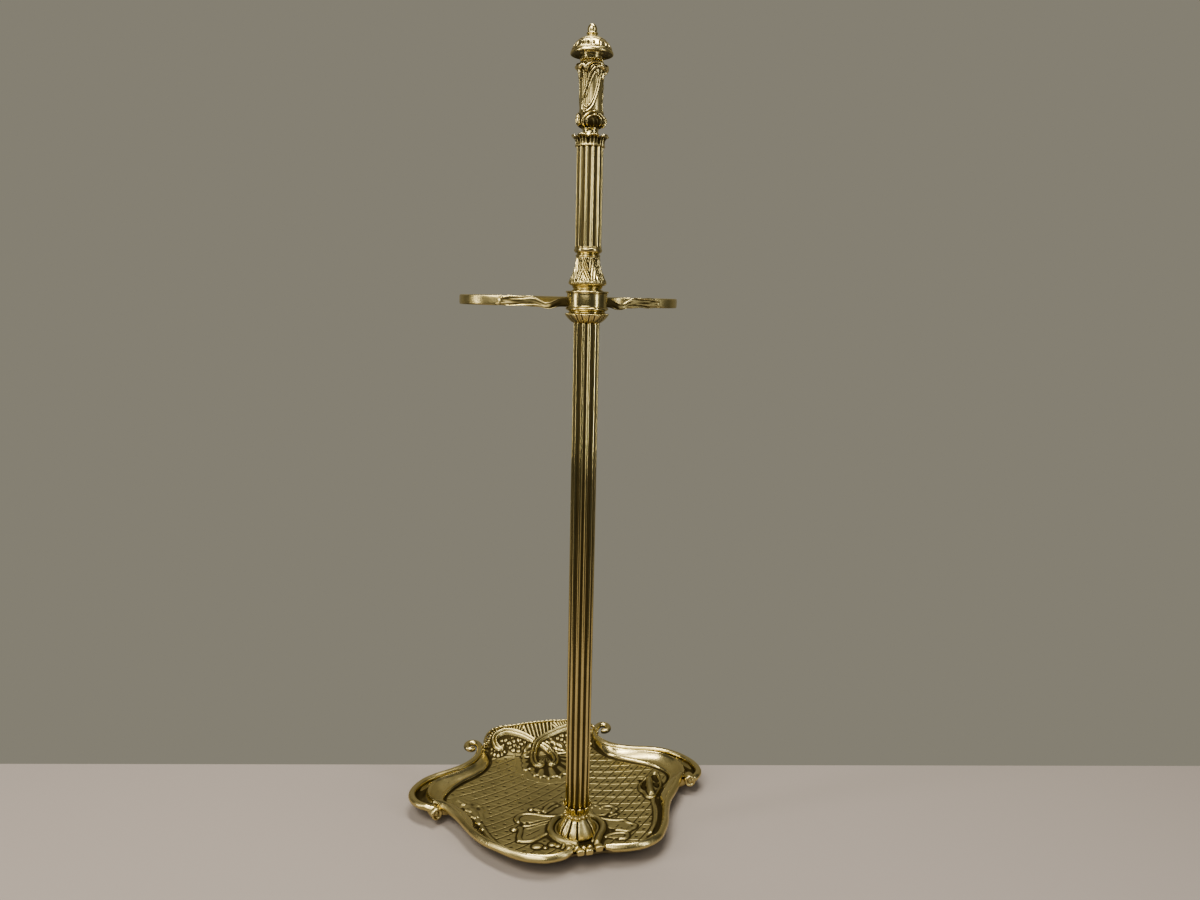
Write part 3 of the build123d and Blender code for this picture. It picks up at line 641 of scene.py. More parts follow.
# Leaf with hollows in each front corner, and the rib band that runs from it down the wall
for side in (-1, 1):
    flower = curve([(side * x, y) for x, y in ((97.9, 131.3), (103, 134), (107.6, 132), (108, 124),
        (106.4, 114), (103, 104), (97, 95), (91.4, 88), (85, 86.8), (81, 91), (80.6, 98.3), (78.4, 105),
        (81.6, 115.2), (87, 122.4), (92.5, 126))], closed=True, step=0.8)
    here = inside(X, Y, flower)
    d_rim = path_field(X, Y, flower, 14, closed=True)[0]
    strength = 1.0 if side > 0 else 0.7
    body = strength * 1.1 * smooth(0, 2.2, d_rim)
    if side > 0:
        body += 1.7 * bump(d_rim - 1.6, 1.3)
    raise_to(np.where(here & (height < 17), body, 0))
    if side > 0:
        bulb = ridge([(95.6, 124), (93.4, 117), (91, 109), (88.9, 99), (88.6, 91)], 3.7, 4.4)
        raise_to(bulb)
        # Painted highlight along the raised bulb.
        painted_shade -= 0.5 * unit(bulb / 4.4)
        pits, pit_depth, pit_dark = [(87.6, 119, 5.2), (84.8, 108, 4.6), (102.6, 122, 6.0),
            (99.4, 109.5, 4.8)], 2.2, 0.9
        strokes = []
    else:
        raise_to(ridge([(-96, 119), (-91.6, 109), (-89, 99), (-88.4, 91)], 3.4, 1.9))
        pits, pit_depth, pit_dark = [(-89, 119, 3.4), (-84.6, 109, 3.4), (-100.4, 111, 3.4)], 0.6, 0.3
        strokes = [[(-104, 129), (-99.5, 122), (-96, 117)], [(-101, 120), (-95.5, 116.5)],
            [(-98.5, 110), (-92, 103)], [(-95, 97), (-88.5, 91.5)], [(-92.5, 86), (-86, 81)],
            [(-89.6, 76), (-84.5, 71)]]
    # Painted shade in the pits.
    for x, y, r in pits:
        pit = cap(((X - x) ** 2 + ((Y - y) * 0.6) ** 2) / (r * 0.8) ** 2)
        relief -= pit_depth * pit
        painted_shade += pit_dark * pit
    for points in strokes:
        raise_to(ridge(points, 1.9, 2.2))
    flat_mask *= ~(here | (d_rim < 2.0))
    band = [(side * x, y) for x, y in ((90, 92), (86.6, 83), (84.4, 70.8), (80.8, 58.4), (74.6, 44),
        (66, 31.5))]
    raise_to(ridge(band, 2.2, 1.6))
    dark_band = path_field(X, Y, curve([(side * x, y) for x, y in ((93.6, 86), (90, 76), (87.6, 63.5),
        (83.8, 50), (76.4, 35.4), (66, 22.6))]), 6)[0]
    relief -= 1.2 * smooth(2.6, 0.4, dark_band)
    # Painted shade along the groove beside the rib band.
    painted_shade += 0.75 * smooth(2.8, 0.8, dark_band)

# Lattice of grooves with a punched dot in each cell; the lines bow a little towards the sides
LATTICE_PITCH, SLOPE_A, SLOPE_B, BOW = 12.4, 0.68, 0.49, 0.00225
line_a = (Y - SLOPE_A * X - BOW * X * X) / LATTICE_PITCH - 0.10
line_b = (Y + SLOPE_B * X - BOW * X * X) / LATTICE_PITCH - 0.05
pitch_a, pitch_b = LATTICE_PITCH * math.cos(math.atan(SLOPE_A)), LATTICE_PITCH * math.cos(math.atan(SLOPE_B))
off_a = abs(line_a - np.floor(line_a) - 0.5) * pitch_a
off_b = abs(line_b - np.floor(line_b) - 0.5) * pitch_b
to_a = abs(line_a - np.round(line_a)) * pitch_a
to_b = abs(line_b - np.round(line_b)) * pitch_b
groove_a, groove_b = unit(1 - off_a / 0.8), unit(1 - off_b / 0.7)
dot = smooth(1.55, 0.85, np.hypot(to_a, to_b))
tile = 0.10 * unit(np.minimum(off_a, off_b) / 3.2)
tile += 0.24 * bump(off_b - 1.1, 0.5) * smooth(0, 40, X)
lattice = tile - 0.55 * groove_a - (0.18 + 0.25 * smooth(-10, 40, X)) * groove_b - 0.35 * dot
flat_mask = blur(flat_mask * in_floor * smooth(1.5, 4.0, d_floor), 1)
relief += lattice * flat_mask

relief *= in_clip
height = base_height + relief + 0.05 * value_noise(X, Y, 9, 3) + 0.035 * value_noise(X, Y, 3.5, 4)

# Patina and painted shade in the hollows of the tray's surface; painted shade in the crease where the floor
# meets the wall.
shade_and_wear = 0.9 * unit((blur(height, 3) - height) / 0.7) + 0.5 * unit((blur(height, 8) - height) / 2.2)
shade_and_wear += 0.6 * smooth(2.4, 0.2, d_floor) * in_floor + 0.60 * smooth(1.6, 0.5,
    d_floor) * ~in_floor * side_weight
# Painted shade in the lattice grooves and punched dots; one set of grooves is painted darker towards the
# right.
shade_and_wear += (0.9 * groove_a + (0.12 + 0.2 * smooth(-10, 40, X)) * groove_b + 1.9 * dot) * flat_mask
# A little painted shade in the trench between the wall's top and the rail.
shade_and_wear += 0.06 * (~in_lip & ~in_floor) * side_weight * smooth(0.8, 2.4, d_lip) * smooth(0.5, 2.5, d_clip)
# Painted shade: the shading laid over the relief, and the front of the floor painted darker.
shade_and_wear += painted_shade + 0.22 * smooth(120, 40, Y) * in_floor
# Rubbed wear and painted highlight on raised points, less on the shell.
shade_and_wear -= (1.0 - 0.55 * (Y > 204)) * unit((height - blur(height, 3)) / 0.6)
# The shell at the back is darkened a little more.
shade_and_wear += 0.30 * smooth(200, 210, Y) * (abs(X) < 66) * (scroll_near > 0)
shade_and_wear = np.clip(shade_and_wear, -1, 1)


def field_mesh(name, keep, material):
    """Mesh of the height field over the cells whose four corners are kept."""
    rows, columns = keep.shape
    cell = keep[:-1, :-1] & keep[:-1, 1:] & keep[1:, 1:] & keep[1:, :-1]
    quads = grid_faces(rows, columns)[cell.ravel()]
    used = np.unique(quads)
    renumber = np.full(rows * columns, -1)
    renumber[used] = np.arange(len(used))
    points = np.stack([X.ravel(), Y.ravel(), height.ravel()], 1)[used]
    return new_mesh(name, points, renumber[quads], shade_and_wear.ravel()[used], material)


def grown(area):
    """The area with its edge points doubled outwards, so that neighbouring meshes meet."""
    wide = area.copy()
    for axis, shift in ((0, 1), (0, -1), (1, 1), (1, -1)):
        wide |= np.roll(area, shift, axis)
    return wide & in_clip


SHELL_START, OVERLAP = 203.9, 0.5             # where the shell begins, and how far pieces overlap
shell_area = in_clip & (Y > SHELL_START) & (abs(X) < 70)
plain_area = in_clip & ~(shell_area & (Y > SHELL_START + OVERLAP))
floor_front = field_mesh("tray_floor_front", grown(plain_area & in_floor & (Y < 110.2)), floor_brass)
floor_back = field_mesh("tray_floor_back", grown(plain_area & in_floor & (Y > 109.9)), floor_brass)
tray_walls = field_mesh("tray_walls", plain_area & ~in_floor, cast_brass)
tray_shell = field_mesh("tray_shell", shell_area, shell_brass)
tray_parts = []


# ---- Tray: rails, volutes, underside and feet ----

def rounded(points, step=0.5):
    return curve(points, closed=True, step=step)


# Rail section for a path on its middle, outward side positive
RAIL = rounded([(2.3, -2.8), (1.5, -0.8), (0.0, 0.8), (-1.6, 1.5), (-2.6, 1.0), (-3.2, -1.2), (-3.2, -4.0),
    (-1.6, -5.7), (0.4, -5.9), (1.9, -4.8)])
BACK_RAIL = rounded([(3.4, -2.0), (2.4, -0.2), (0.6, 0.8), (-1.4, 0.7), (-3.0, -0.5), (-3.5, -2.6),
    (-2.4, -4.8), (0.6, -5.6), (2.9, -4.6)])
for side, front_plan, side_plan, curl in ((1, FRONT_RIGHT, SIDE_RIGHT, CURL_RIGHT),
        (-1, FRONT_LEFT, SIDE_LEFT, CURL_LEFT)):
    hand = "right" if side > 0 else "left"
    front = curve([(x, y + 0.8 * (y < 20), RIM + 1.0 * (y < 35)) for x, y in front_plan], step=1.0)
    done = np.arange(len(front)) / (len(front) - 1)
    front[:, 2] += 0.7 * smooth(0.8, 0.95, done) - 0.8 * smooth(0.93, 1.0, done)
    width = 0.62 + 0.38 * smooth(0.0, 0.05, done)
    width *= 1 + 0.12 * smooth(0.55, 0.8, done) - 0.35 * smooth(0.93, 1.0, done)
    flip = np.array([side, 1.0])
    tray_parts.append(sweep("front_rail_" + hand, front, RAIL * flip, cast_brass, scale=width))
    back = curve([(x, y, RIM) for x, y in side_plan] + curl[1:], step=1.0)
    done = np.arange(len(back)) / (len(back) - 1)
    back[:, 2] -= 1.5 * smooth(0.05, 0.0, done)
    width = 0.98 - 0.08 * smooth(0.80, 0.9, done)
    tray_parts.append(sweep("side_rail_" + hand, back, BACK_RAIL * flip, cast_brass, scale=width))


def ring_loop(scale, z):
    """Outline of the tray drawn in towards its middle, at height z."""
    loop = clip_curve[:, :2].copy()
    loop[:, 0] *= scale
    loop[:, 1] = MIDDLE_Y + (loop[:, 1] - MIDDLE_Y) * scale
    return np.column_stack([loop, np.full(len(loop), z)])


top_loop = ring_loop(1.0, 0)
top_loop[:, 2] = np.where(top_loop[:, 1] > 205, shell_slope(top_loop[:, 1]) - 0.6, RIM - 3)
levels = [top_loop] + [ring_loop(*row) for row in ((0.985, 15.5), (0.962, 12.5), (0.93, 9.2), (0.90, 7.2),
    (0.88, 6.5))]
around = len(top_loop)
belly_faces = grid_faces(len(levels), around, wrap_columns=True).tolist()
belly_faces.append(list(range((len(levels) - 1) * around, len(levels) * around)))
# The belly under the tray carries an even touch of painted shade.
tray_parts.append(new_mesh("tray_belly", np.concatenate(levels), belly_faces,
    np.full(len(levels) * around, 0.25), cast_brass))
ripple = abs(np.sin(np.arctan2(edge[:, 0], edge[:, 1] - fan_y) * 62))
lip_section = rounded([(1.0, 0), (0.7, 0.7), (-0.2, 0.9), (-1.0, 0.3), (-1.1, -1.6), (0, -2.4),
    (0.9, -1.6)], 0.4)
tray_parts.append(sweep("shell_edge", edge, lip_section, cast_brass, scale=0.85 + 0.35 * ripple))


def lathe(name, outline, material, inner=2.8, turns=96, warp=None, centre=(0.0, COLUMN_Y), step=0.5,
        smooth_outline=True):
    """Piece turned about a vertical axis; warp(theta, r, z) gives the shaped radius and height, and an extra
    value added as painted shade, below 0 as painted highlight and rubbed wear.
    """
    outline = np.array(outline, float)
    profile = curve(outline, step=step) if smooth_outline else outline
    z0, z1 = profile[0, 1], profile[-1, 1]
    outer = len(profile)
    ring = np.concatenate([profile, [(inner, z1), (inner, z0)]])
    theta = np.arange(turns) / turns * 2 * math.pi
    T, R = np.meshgrid(theta, ring[:, 0])
    Z = np.repeat(ring[:, 1][:, None], turns, 1)
    plain = R.copy()
    shade_wear = np.zeros_like(R)
    if warp is not None:
        r, z, extra = warp(T[:outer], R[:outer], Z[:outer])
        R[:outer], Z[:outer] = r, z
        depth = plain[:outer] - r
        # Patina and painted shade in the hollows of the warped surface, rubbed wear and painted highlight on
        # its raised parts.
        shade_wear[:outer] = np.clip((depth - blur(depth, 4, wrap=True)) / 0.5, -1, 1) + extra
    points = np.stack([centre[0] + R * np.sin(T), centre[1] - R * np.cos(T), Z], -1).reshape(-1, 3)
    faces = grid_faces(len(ring), turns, wrap_rows=True, wrap_columns=True)
    return new_mesh(name, points, faces[:, ::-1], np.clip(shade_wear, -1, 1), material)


for x, y in ((58, 47), (92, 140), (-58, 47), (-92, 140)):
    tray_parts.append(lathe("foot", [(0.5, 0), (5.2, 0), (6.0, 0.8), (6.9, 3.2), (8.4, 7.4), (0.5, 7.5)],
        cast_brass, inner=0.2, turns=40, centre=(x, y), step=0.7))

def softened(value):
    return np.sign(value) * abs(value) ** 0.5


def front_bead(centre, half):
    """Softened box with the half sizes given."""
    rows, columns = 16, 28
    a = np.linspace(-math.pi / 2, math.pi / 2, rows)
    b = np.arange(columns) / columns * 2 * math.pi
    A, B = np.meshgrid(a, b, indexing="ij")
    level = softened(np.cos(A))
    shape = np.stack([level * softened(np.cos(B)), level * softened(np.sin(B)), softened(np.sin(A))], -1)
    points = shape.reshape(-1, 3) * half + centre
    return new_mesh("pearl", points, grid_faces(rows, columns, wrap_columns=True),
        np.full(len(points), 0.06), cast_brass)


for x, lift in ((-8.1, 1.2), (0, 1.0), (9.0, 3.0)):
    tray_parts.append(front_bead((x, 5.4, 18.3 + lift), (3.7, 3.0, 2.8)))


def corner_roll(hand, centre, axis, radius, length, groove_dark=0.5):
    """Rolled end of the side rail: a short scroll with a spiral groove on its front end."""
    turns, rings = 40, 13
    side = np.cross(axis, (0, 0, 1.0))
    side /= np.linalg.norm(side)
    points, shade_wear = [], []
    profile = [(0.02, 0.30), (0.22, 0.34), (0.36, 0.10), (0.50, 0.06), (0.62, 0.34), (0.86, 0.38),
        (0.97, 0.24), (1.0, 0.0), (0.97, -0.4), (0.96, -1.0), (0.92, -1.25), (0.7, -1.35), (0.05, -1.35)]
    for r, ahead in profile:
        for k in range(turns):
            t = 2 * math.pi * k / turns
            spiral = 1.0 - 0.10 * (k / turns) * (r > 0.55)
            p = np.array(centre) + axis * (ahead * length * 0.5) + radius * r * spiral * (side * math.cos(t)
                + np.array([0, 0, 1.0]) * math.sin(t))
            points.append(p)
            # Painted shade in the spiral groove.
            shade_wear.append(groove_dark if 0.3 < r < 0.56 and ahead > 0 else 0.08)
    return new_mesh("roll_" + hand, np.array(points), grid_faces(rings, turns, wrap_columns=True),
        np.array(shade_wear), cast_brass)


tray_parts.append(corner_roll("right", (133.2, 103.0, 15.2), np.array([-0.10, -0.98, -0.15]), 6.2, 11))
tray_parts.append(corner_roll("left", (-125.6, 106.4, 12.6), np.array([0.45, -0.88, -0.15]), 6.4, 12,
    groove_dark=0.25))
tray_rails = join("tray_rails", tray_parts)


# ---- Column ----

def wave(theta, count):
    """One smooth lobe per 1/count of a turn: 1 in the middle of a lobe, 0 between two lobes."""
    return abs(np.cos(theta * count / 2))


def column_piece(name, outline, material, warp=None, inner=2.8, turns=120, step=0.5, extras=(),
        sharp=False):
    """Turned piece with its extra parts, riding on the body, in its material's slot."""
    body = lathe(name, outline, material, inner=inner, turns=turns, warp=warp, step=step, smooth_outline=not
        sharp)
    piece = join(name, [body, *extras])
    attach(piece, "root")
    return piece


def pearl_ring(count, radius, z, size, squash=1.0):
    """Ring of small beads as one mesh."""
    rows, columns = 9, 14
    a = np.linspace(-math.pi / 2, math.pi / 2, rows)
    b = np.arange(columns) / columns * 2 * math.pi
    A, B = np.meshgrid(a, b, indexing="ij")
    bead = np.stack([np.cos(A) * np.cos(B), np.cos(A) * np.sin(B), np.sin(A) * squash], -1).reshape(-1,
        3) * size
    points, faces, shade_wear = [], [], []
    for k in range(count):
        t = 2 * math.pi * k / count
        points.append(bead + [radius * math.sin(t), COLUMN_Y - radius * math.cos(t), z])
        faces.append(grid_faces(rows, columns, wrap_columns=True) + k * rows * columns)
        shade_wear.append(np.full(rows * columns, 0.05))
    return new_mesh("beads", np.concatenate(points), np.concatenate(faces), np.concatenate(shade_wear), cast_brass)


TUBE_R = 11.4
FLUTES, FLUTE_PITCH, FLUTE_R, FLUTE_OUT = 12, 5.97, 2.45, 1.15


def tube(name, bottom, top):
    """Drawn tube with round flutes, whose middles lie FLUTE_OUT outside the surface."""
    def flutes(T, r, z):
        phase = (T * FLUTES / (2 * math.pi)) % 1.0
        across = abs(phase - 0.5) * FLUTE_PITCH           # distance from the middle of the flute
        hollow = np.sqrt(np.clip(FLUTE_R ** 2 - across ** 2, 0, None)) - FLUTE_OUT
        depth = np.clip(hollow, 0, 1.3)
        land = smooth(2.15, 2.98, across)
        # Painted shade deep in each flute.
        return r - depth - 0.18 * (1 - land), z, 0.55 * smooth(0.55, 1.25, depth)
    return column_piece(name, [(TUBE_R, bottom), (TUBE_R, bottom + 1), (TUBE_R, top - 1), (TUBE_R, top)],
        tube_brass, warp=flutes, turns=288, step=30.0, sharp=True, inner=9.3)


def bell(T, r, z):
    """Petals of the foot: in each third of a turn two narrow ones and a wide one."""
    phase = np.degrees(T + math.radians(72)) % 120
    half = np.where(phase < 60, 15.0, 30.0)
    middle = np.where(phase < 30, 15.0, np.where(phase < 60, 45.0, 90.0))
    inward = 1 - abs(phase - middle) / half              # 0 at a groove, 1 in the middle of a petal
    gap = inward * half * r * math.pi / 180                  # distance from the nearest groove
    fade = smooth(26.5, 24.0, z) * smooth(9.6, 11.0, z)
    groove = smooth(1.25, 0.35, gap)
    rim = bump(gap - 1.9, 0.7)
    swell = cap((1 - inward) ** 2)
    # Painted shade in the grooves between petals.
    return r + (0.9 * swell - 0.5) * fade - 1.0 * groove * fade + 0.3 * rim * fade, z, 0.95 * groove * fade


def collar_leaves(T, r, z):
    """Ring of ten standing leaves with separate rounded tips."""
    count, low, high = 10, 31.6, 39.2
    leaf = wave(T, count)
    up = unit((z - low) / (high - low))
    scallop = 3.2 * (1 - unit(leaf * 1.35) ** 0.55) * up
    ribs = 0.35 * np.cos(T * count * 3) * smooth(0.05, 0.5, up)
    gap = smooth(0.34, 0.08, leaf) * smooth(0.0, 0.35, up)
    # Painted shade in the gaps between leaves and in the troughs of their ribs.
    return r + 1.6 * up ** 2 * (leaf - 0.5) + 0.45 * ribs - 0.9 * gap, z - scallop, 0.9 * gap + 0.25 * (ribs
        < 0)


foot = column_piece("column_foot_looks", [(16.6, 9.5), (17.9, 10.8), (17.6, 13), (15.6, 17.5), (12.6, 22),
    (10.4, 25.5), (9.9, 27)], cast_brass, warp=bell, turns=240, step=0.4)

collar_base = lathe("collar_base", [(9.9, 27), (11.1, 27.8), (11.3, 29.2), (10.7, 30.8), (10.4, 31.8),
    (10.4, 33)], cast_brass, turns=96, step=0.4)
collar_pearls = pearl_ring(18, 11.2, 29.3, 1.45)
collar = column_piece("foot_collar_looks", [(10.4, 31.6), (10.9, 33.0), (11.6, 35.4), (12.6, 38.0),
    (13.0, 39.6), (12.4, 39.9), (11.6, 38.8), (11.3, 37)], cast_brass, warp=collar_leaves, turns=200,
    step=0.4, extras=[collar_base, collar_pearls])
lower_tube = tube("lower_tube_looks", 35.5, 485.2)


CUP_BOTTOM, CUP_WIDEST = 484.8, 492.2


def gadroons(T, r, z):
    """Ten petals round the cup, each with a dark line near either side."""
    up = unit((z - CUP_BOTTOM) / (CUP_WIDEST - CUP_BOTTOM))
    count = 10
    phase = (T * count / (2 * math.pi)) % 1.0
    across = (phase - 0.5) * 2                      # -1 to 1 over one petal
    petal = cap((abs(across) / 1.02) ** 2.6)
    line_at = 0.60 - 0.12 * (1 - up)
    line = bump(abs(across) - line_at, 0.075)
    fade = smooth(0.0, 0.12, up) * smooth(1.02, 0.90, up)
    # Painted shade in the cut lines and in the joins between petals.
    return r + (0.7 * petal - 0.5) * fade - 0.75 * line * fade, z, 0.95 * line * fade + 0.5 * smooth(0.3,
        0.0, petal) * fade


cup_edge = pearl_ring(64, 17.9, 492.3, 0.75, squash=0.8)
cup = column_piece("gadrooned_cup_looks", [(10.9, CUP_BOTTOM), (13.4, 486.2), (16.1, 488.7), (18.1, 491.2),
    (18.5, 492.2), (17.6, 493)], cast_brass, warp=gadroons, turns=300, step=0.3, extras=[cup_edge])
cove = column_piece("cove_collar_looks", [(16.6, 493), (15.9, 493.3), (15.4, 493.9), (15.4, 494.6),
    (16.2, 495.2), (16.9, 495.3), (17.3, 495.8), (18.0, 496.3), (18.1, 497.2), (17.3, 498)], turned_brass,
    step=0.2)
flange = column_piece("hub_flange_looks", [(17.3, 510), (17.8, 510.05), (18.2, 510.4), (18.25, 511.0),
    (17.9, 511.5), (16.8, 511.65), (14, 511.7)], turned_brass, step=0.2)
seat = column_piece("baluster_seat_looks", [(13.4, 511.6), (13.3, 512.2), (12.2, 512.9), (11.8, 513.6),
    (12.3, 514.3), (12.9, 514.9), (12.4, 515.8)], turned_brass, step=0.2)


FEATHER_ROOT, BALUSTER_TOP = 518, 539.8


def feathers(T, r, z):
    """Seven slanting plumes with barbs, parted by dark lines."""
    up = unit((z - FEATHER_ROOT) / (BALUSTER_TOP - FEATHER_ROOT))
    plume_phase = (T * 7 / (2 * math.pi) + 0.35 * up) % 1.0 - 0.5
    barb = np.cos((abs(plume_phase) * 2 + 1.3 * up) * 2 * math.pi * 2.6 + 2.2 * np.sin(T * 3))
    shaft = bump(plume_phase, 0.05)
    split = smooth(0.40, 0.49, abs(plume_phase))
    fade = smooth(0.04, 0.14, up) * smooth(1.0, 0.92, up)
    # Painted shade in the barb troughs and parting lines, and painted highlight on the barb crests and
    # shafts.
    dark = unit(0.95 * smooth(-0.1, -0.85, barb) * (1 - shaft) + 0.8 * split)
    lip = bump(z - 518.6, 1.3) * 0.22 * np.cos(T * 30)
    bright = 0.5 * smooth(0.5, 0.95, barb) + 0.5 * shaft
    return r + (0.42 * barb + 0.36 * shaft - 0.65 * split) * fade + lip, z, (dark - bright) * fade


baluster = column_piece("baluster_looks", [(12.4, 515.8), (13.9, 516.2), (15.4, 517.2), (15.9, 518.6),
    (15.4, 520.2), (14.1, 522.4), (11.9, 527.6), (10.4, 532.8), (9.9, 537), (10.0, BALUSTER_TOP)],
    cast_brass, warp=feathers, turns=300, step=0.25)
ring_outline = [(9.6, BALUSTER_TOP), (10.3, 540.3), (10.5, 541.0), (9.9, 541.8), (9.3, 542.3), (9.8, 542.9),
    (11.0, 543.7), (11.8, 544.9), (11.8, 546.2), (11.2, 547.0), (11.5, 547.6), (11.5, 548.1)]
tube_ring = column_piece("tube_ring_looks", ring_outline, turned_brass, step=0.2)
upper_tube = tube("upper_tube_looks", 547.8, 629.0)


CROWN_BOTTOM, CROWN_TIPS = 628.5, 638


def crown_leaves(T, r, z):
    """Eight veined leaves with tips that curl outwards."""
    up = unit((z - CROWN_BOTTOM) / (CROWN_TIPS - CROWN_BOTTOM))
    leaf = wave(T, 8)
    curl = smooth(0.72, 1.0, up)
    midrib = bump(1 - leaf, 0.018)
    gap = smooth(0.50, 0.16, leaf) * smooth(0.10, 0.45, up)
    veins = 0.35 * np.cos(np.arccos(unit(leaf)) * 14) * (1 - curl)
    radius = r + 1.9 * curl * leaf - 1.3 * gap + 0.4 * midrib * (1 - curl) + 0.3 * veins
    height = z - 4.2 * (1 - leaf ** 0.5) * up ** 2 - 0.8 * curl * leaf
    # Painted shade between the leaves and over their lower bodies, and painted highlight on the curled tips.
    dark = unit(gap + 0.8 * (1 - curl) * (1 - midrib) * smooth(0.1, 0.3, up))
    return radius, height, dark - 0.6 * curl * leaf


crown = column_piece("leaf_crown_looks", [(11.5, CROWN_BOTTOM), (12.3, 629.0), (12.0, 629.8), (11.8, 631.5),
    (12.2, 634), (13.2, 636.6), (14.0, 638.3), (13.0, 638.8), (11.6, 637.4), (9, 637.0), (6, 637.6)],
    cast_brass, warp=crown_leaves, turns=240, step=0.3)
spacer = column_piece("neck_spacer_looks", [(7.2, 636.6), (7.2, 637.8), (6.9, 638.8), (6.5, 639.8),
    (6.4, 640.8), (6.6, 642.0), (7.0, 643.0), (6.9, 643.8)], turned_brass, step=0.2)

# Grip: relief worked out on the unrolled surface, where u is the angle times GRIP_R
GRIP_R, GRIP_BOTTOM = 10.5, 643.3
MOTIF = 2 * math.pi * GRIP_R / 3             # three cartouches round the grip
U0 = -14.5 * math.pi / 180 * GRIP_R          # middle of the front cartouche


def unrolled(points):
    """Strokes on the grip: sideways from the middle of a motif and height above its foot."""
    return curve([(U0 + u, GRIP_BOTTOM + z) for u, z in points], step=0.3)


def grip_distance(U, Z, path, reach):
    """Distance to a stroke or its repeats round the grip."""
    best = np.full(U.shape, float(reach))
    for k in range(-4, 5):
        shifted = path + [k * MOTIF, 0]
        if shifted[:, 0].max() < U.min() - reach or shifted[:, 0].min() > U.max() + reach:
            continue
        best = np.minimum(best, path_field(U, Z, shifted, reach)[0])
    return best


def grip_relief(T, r, z):
    """Cartouches, arches and lobes as raised strokes, with a pitted bulb below."""
    U, Z = T * GRIP_R, z
    outer = unrolled([(2.6, 45.6), (-0.8, 41.0), (-4.4, 33), (-7.2, 25), (-8.8, 17.5), (-8.2, 13.4),
        (-4.2, 12.4), (0.8, 16.0), (4.4, 23), (6.9, 30), (8.2, 36.6), (8.2, 42), (6.0, 46.4), (2.6, 45.6)])
    inner = unrolled([(3.0, 42.0), (0.2, 36.5), (-2.9, 29), (-6.1, 21.0), (-6.0, 16.4), (-2.8, 16.2),
        (1.6, 21.6), (4.2, 28.4), (5.8, 35.6), (5.8, 40.4), (3.0, 42.0)])
    arch = unrolled([(-4.0, 43.5), (-2.8, 47.2), (1.0, 49.8), (5.4, 50.0), (9.4, 47.5), (11.4, 43.0),
        (11.0, 38.5)])
    arch_in = unrolled([(-0.8, 44.5), (1.2, 47.0), (4.6, 48.0), (7.8, 45.6), (9.0, 41.6)])
    lip = unrolled([(-14.0, 46.8), (-12, 45.6), (-9.0, 46.4), (-6.2, 48.2), (-4.2, 45.4)])
    lobe = unrolled([(-6.4, 1.6), (-5.2, 6.4), (-2.0, 10.4), (2.0, 12.2), (6.8, 10.6), (10.8, 7.6),
        (12.0, 3)])
    lobe2 = unrolled([(-3.0, 1.8), (-2.6, 6.0), (0.6, 8.8), (4.6, 9.2), (8.0, 6.4), (8.6, 2.2)])
    rise = np.zeros_like(r)
    d_out, d_in = grip_distance(U, Z, outer, 5), grip_distance(U, Z, inner, 5)
    for d, width, lift in ((d_out, 0.85, 0.75), (d_in, 0.6, 0.6), (grip_distance(U, Z, arch, 3), 1.3, 2.0),
            (grip_distance(U, Z, arch_in, 3), 0.6, 0.9), (grip_distance(U, Z, lip, 3), 1.7, 2.6),
            (grip_distance(U, Z, lobe, 3), 1.0, 1.5), (grip_distance(U, Z, lobe2, 3), 0.8, 0.9)):
        rise = np.maximum(rise, lift * cap((d / width) ** 2))
    across = ((U - U0 + 9.5) / MOTIF) % 1.0
    ribs = 0.22 * np.cos(across * 2 * math.pi * 9) * smooth(0.45, 0.3, across) * smooth(656, 662,
        Z) * smooth(690, 684, Z)
    hollow_top = 0.9 * smooth(2.0, 0.3, abs(Z - 691.5)) * (rise < 0.3)
    bulge = smooth(655.5, 652.5, Z)
    pits = bulge * (rise < 0.4) * (0.7 + 0.3 * np.cos(U * 1.4 + Z * 0.6))
    # The pitted bulb is darkened; painted shade lies beside the cartouche strokes and in the hollow at the
    # top.
    dark = 0.9 * bulge * (rise < 0.5) + 1.0 * smooth(1.7, 0.95, d_out) * (rise < 0.3) + 0.9 * smooth(1.3,
        0.7, d_in) * (rise < 0.25)
    dark = dark + 0.7 * (hollow_top > 0.3)
    return r + rise + ribs - hollow_top - 0.7 * pits, z, unit(dark)


def even_outline(outline, step):
    """Outline resampled at equal heights."""
    dense = curve(outline, step=0.1)
    z = np.arange(dense[0, 1], dense[-1, 1] + 1e-6, step)
    return np.column_stack([np.interp(z, dense[:, 1], dense[:, 0]), z])


grip_turns = 264
grip_outline = even_outline([(7.6, GRIP_BOTTOM), (10.6, 645.2), (12.0, 648.6), (11.4, 652.2), (9.9, 655.8),
    (9.4, 660), (9.2, 666), (9.2, 672), (9.5, 679), (10.3, 684.5), (11.4, 689), (11.4, 691.6),
    (10.2, 694.1)], 2 * math.pi * GRIP_R / grip_turns)
grip = column_piece("grip_looks", grip_outline, cast_brass, warp=grip_relief, turns=grip_turns, sharp=True)

neck_beads = pearl_ring(20, 8.5, 696.6, 1.1)
neck = column_piece("beaded_neck_looks", [(9.4, 693.9), (9.8, 694.7), (9.0, 695.3), (8.2, 695.8),
    (7.9, 697.0), (8.3, 698.4), (8.6, 699.4), (8.5, 700.2)], cast_brass, step=0.2, extras=[neck_beads])


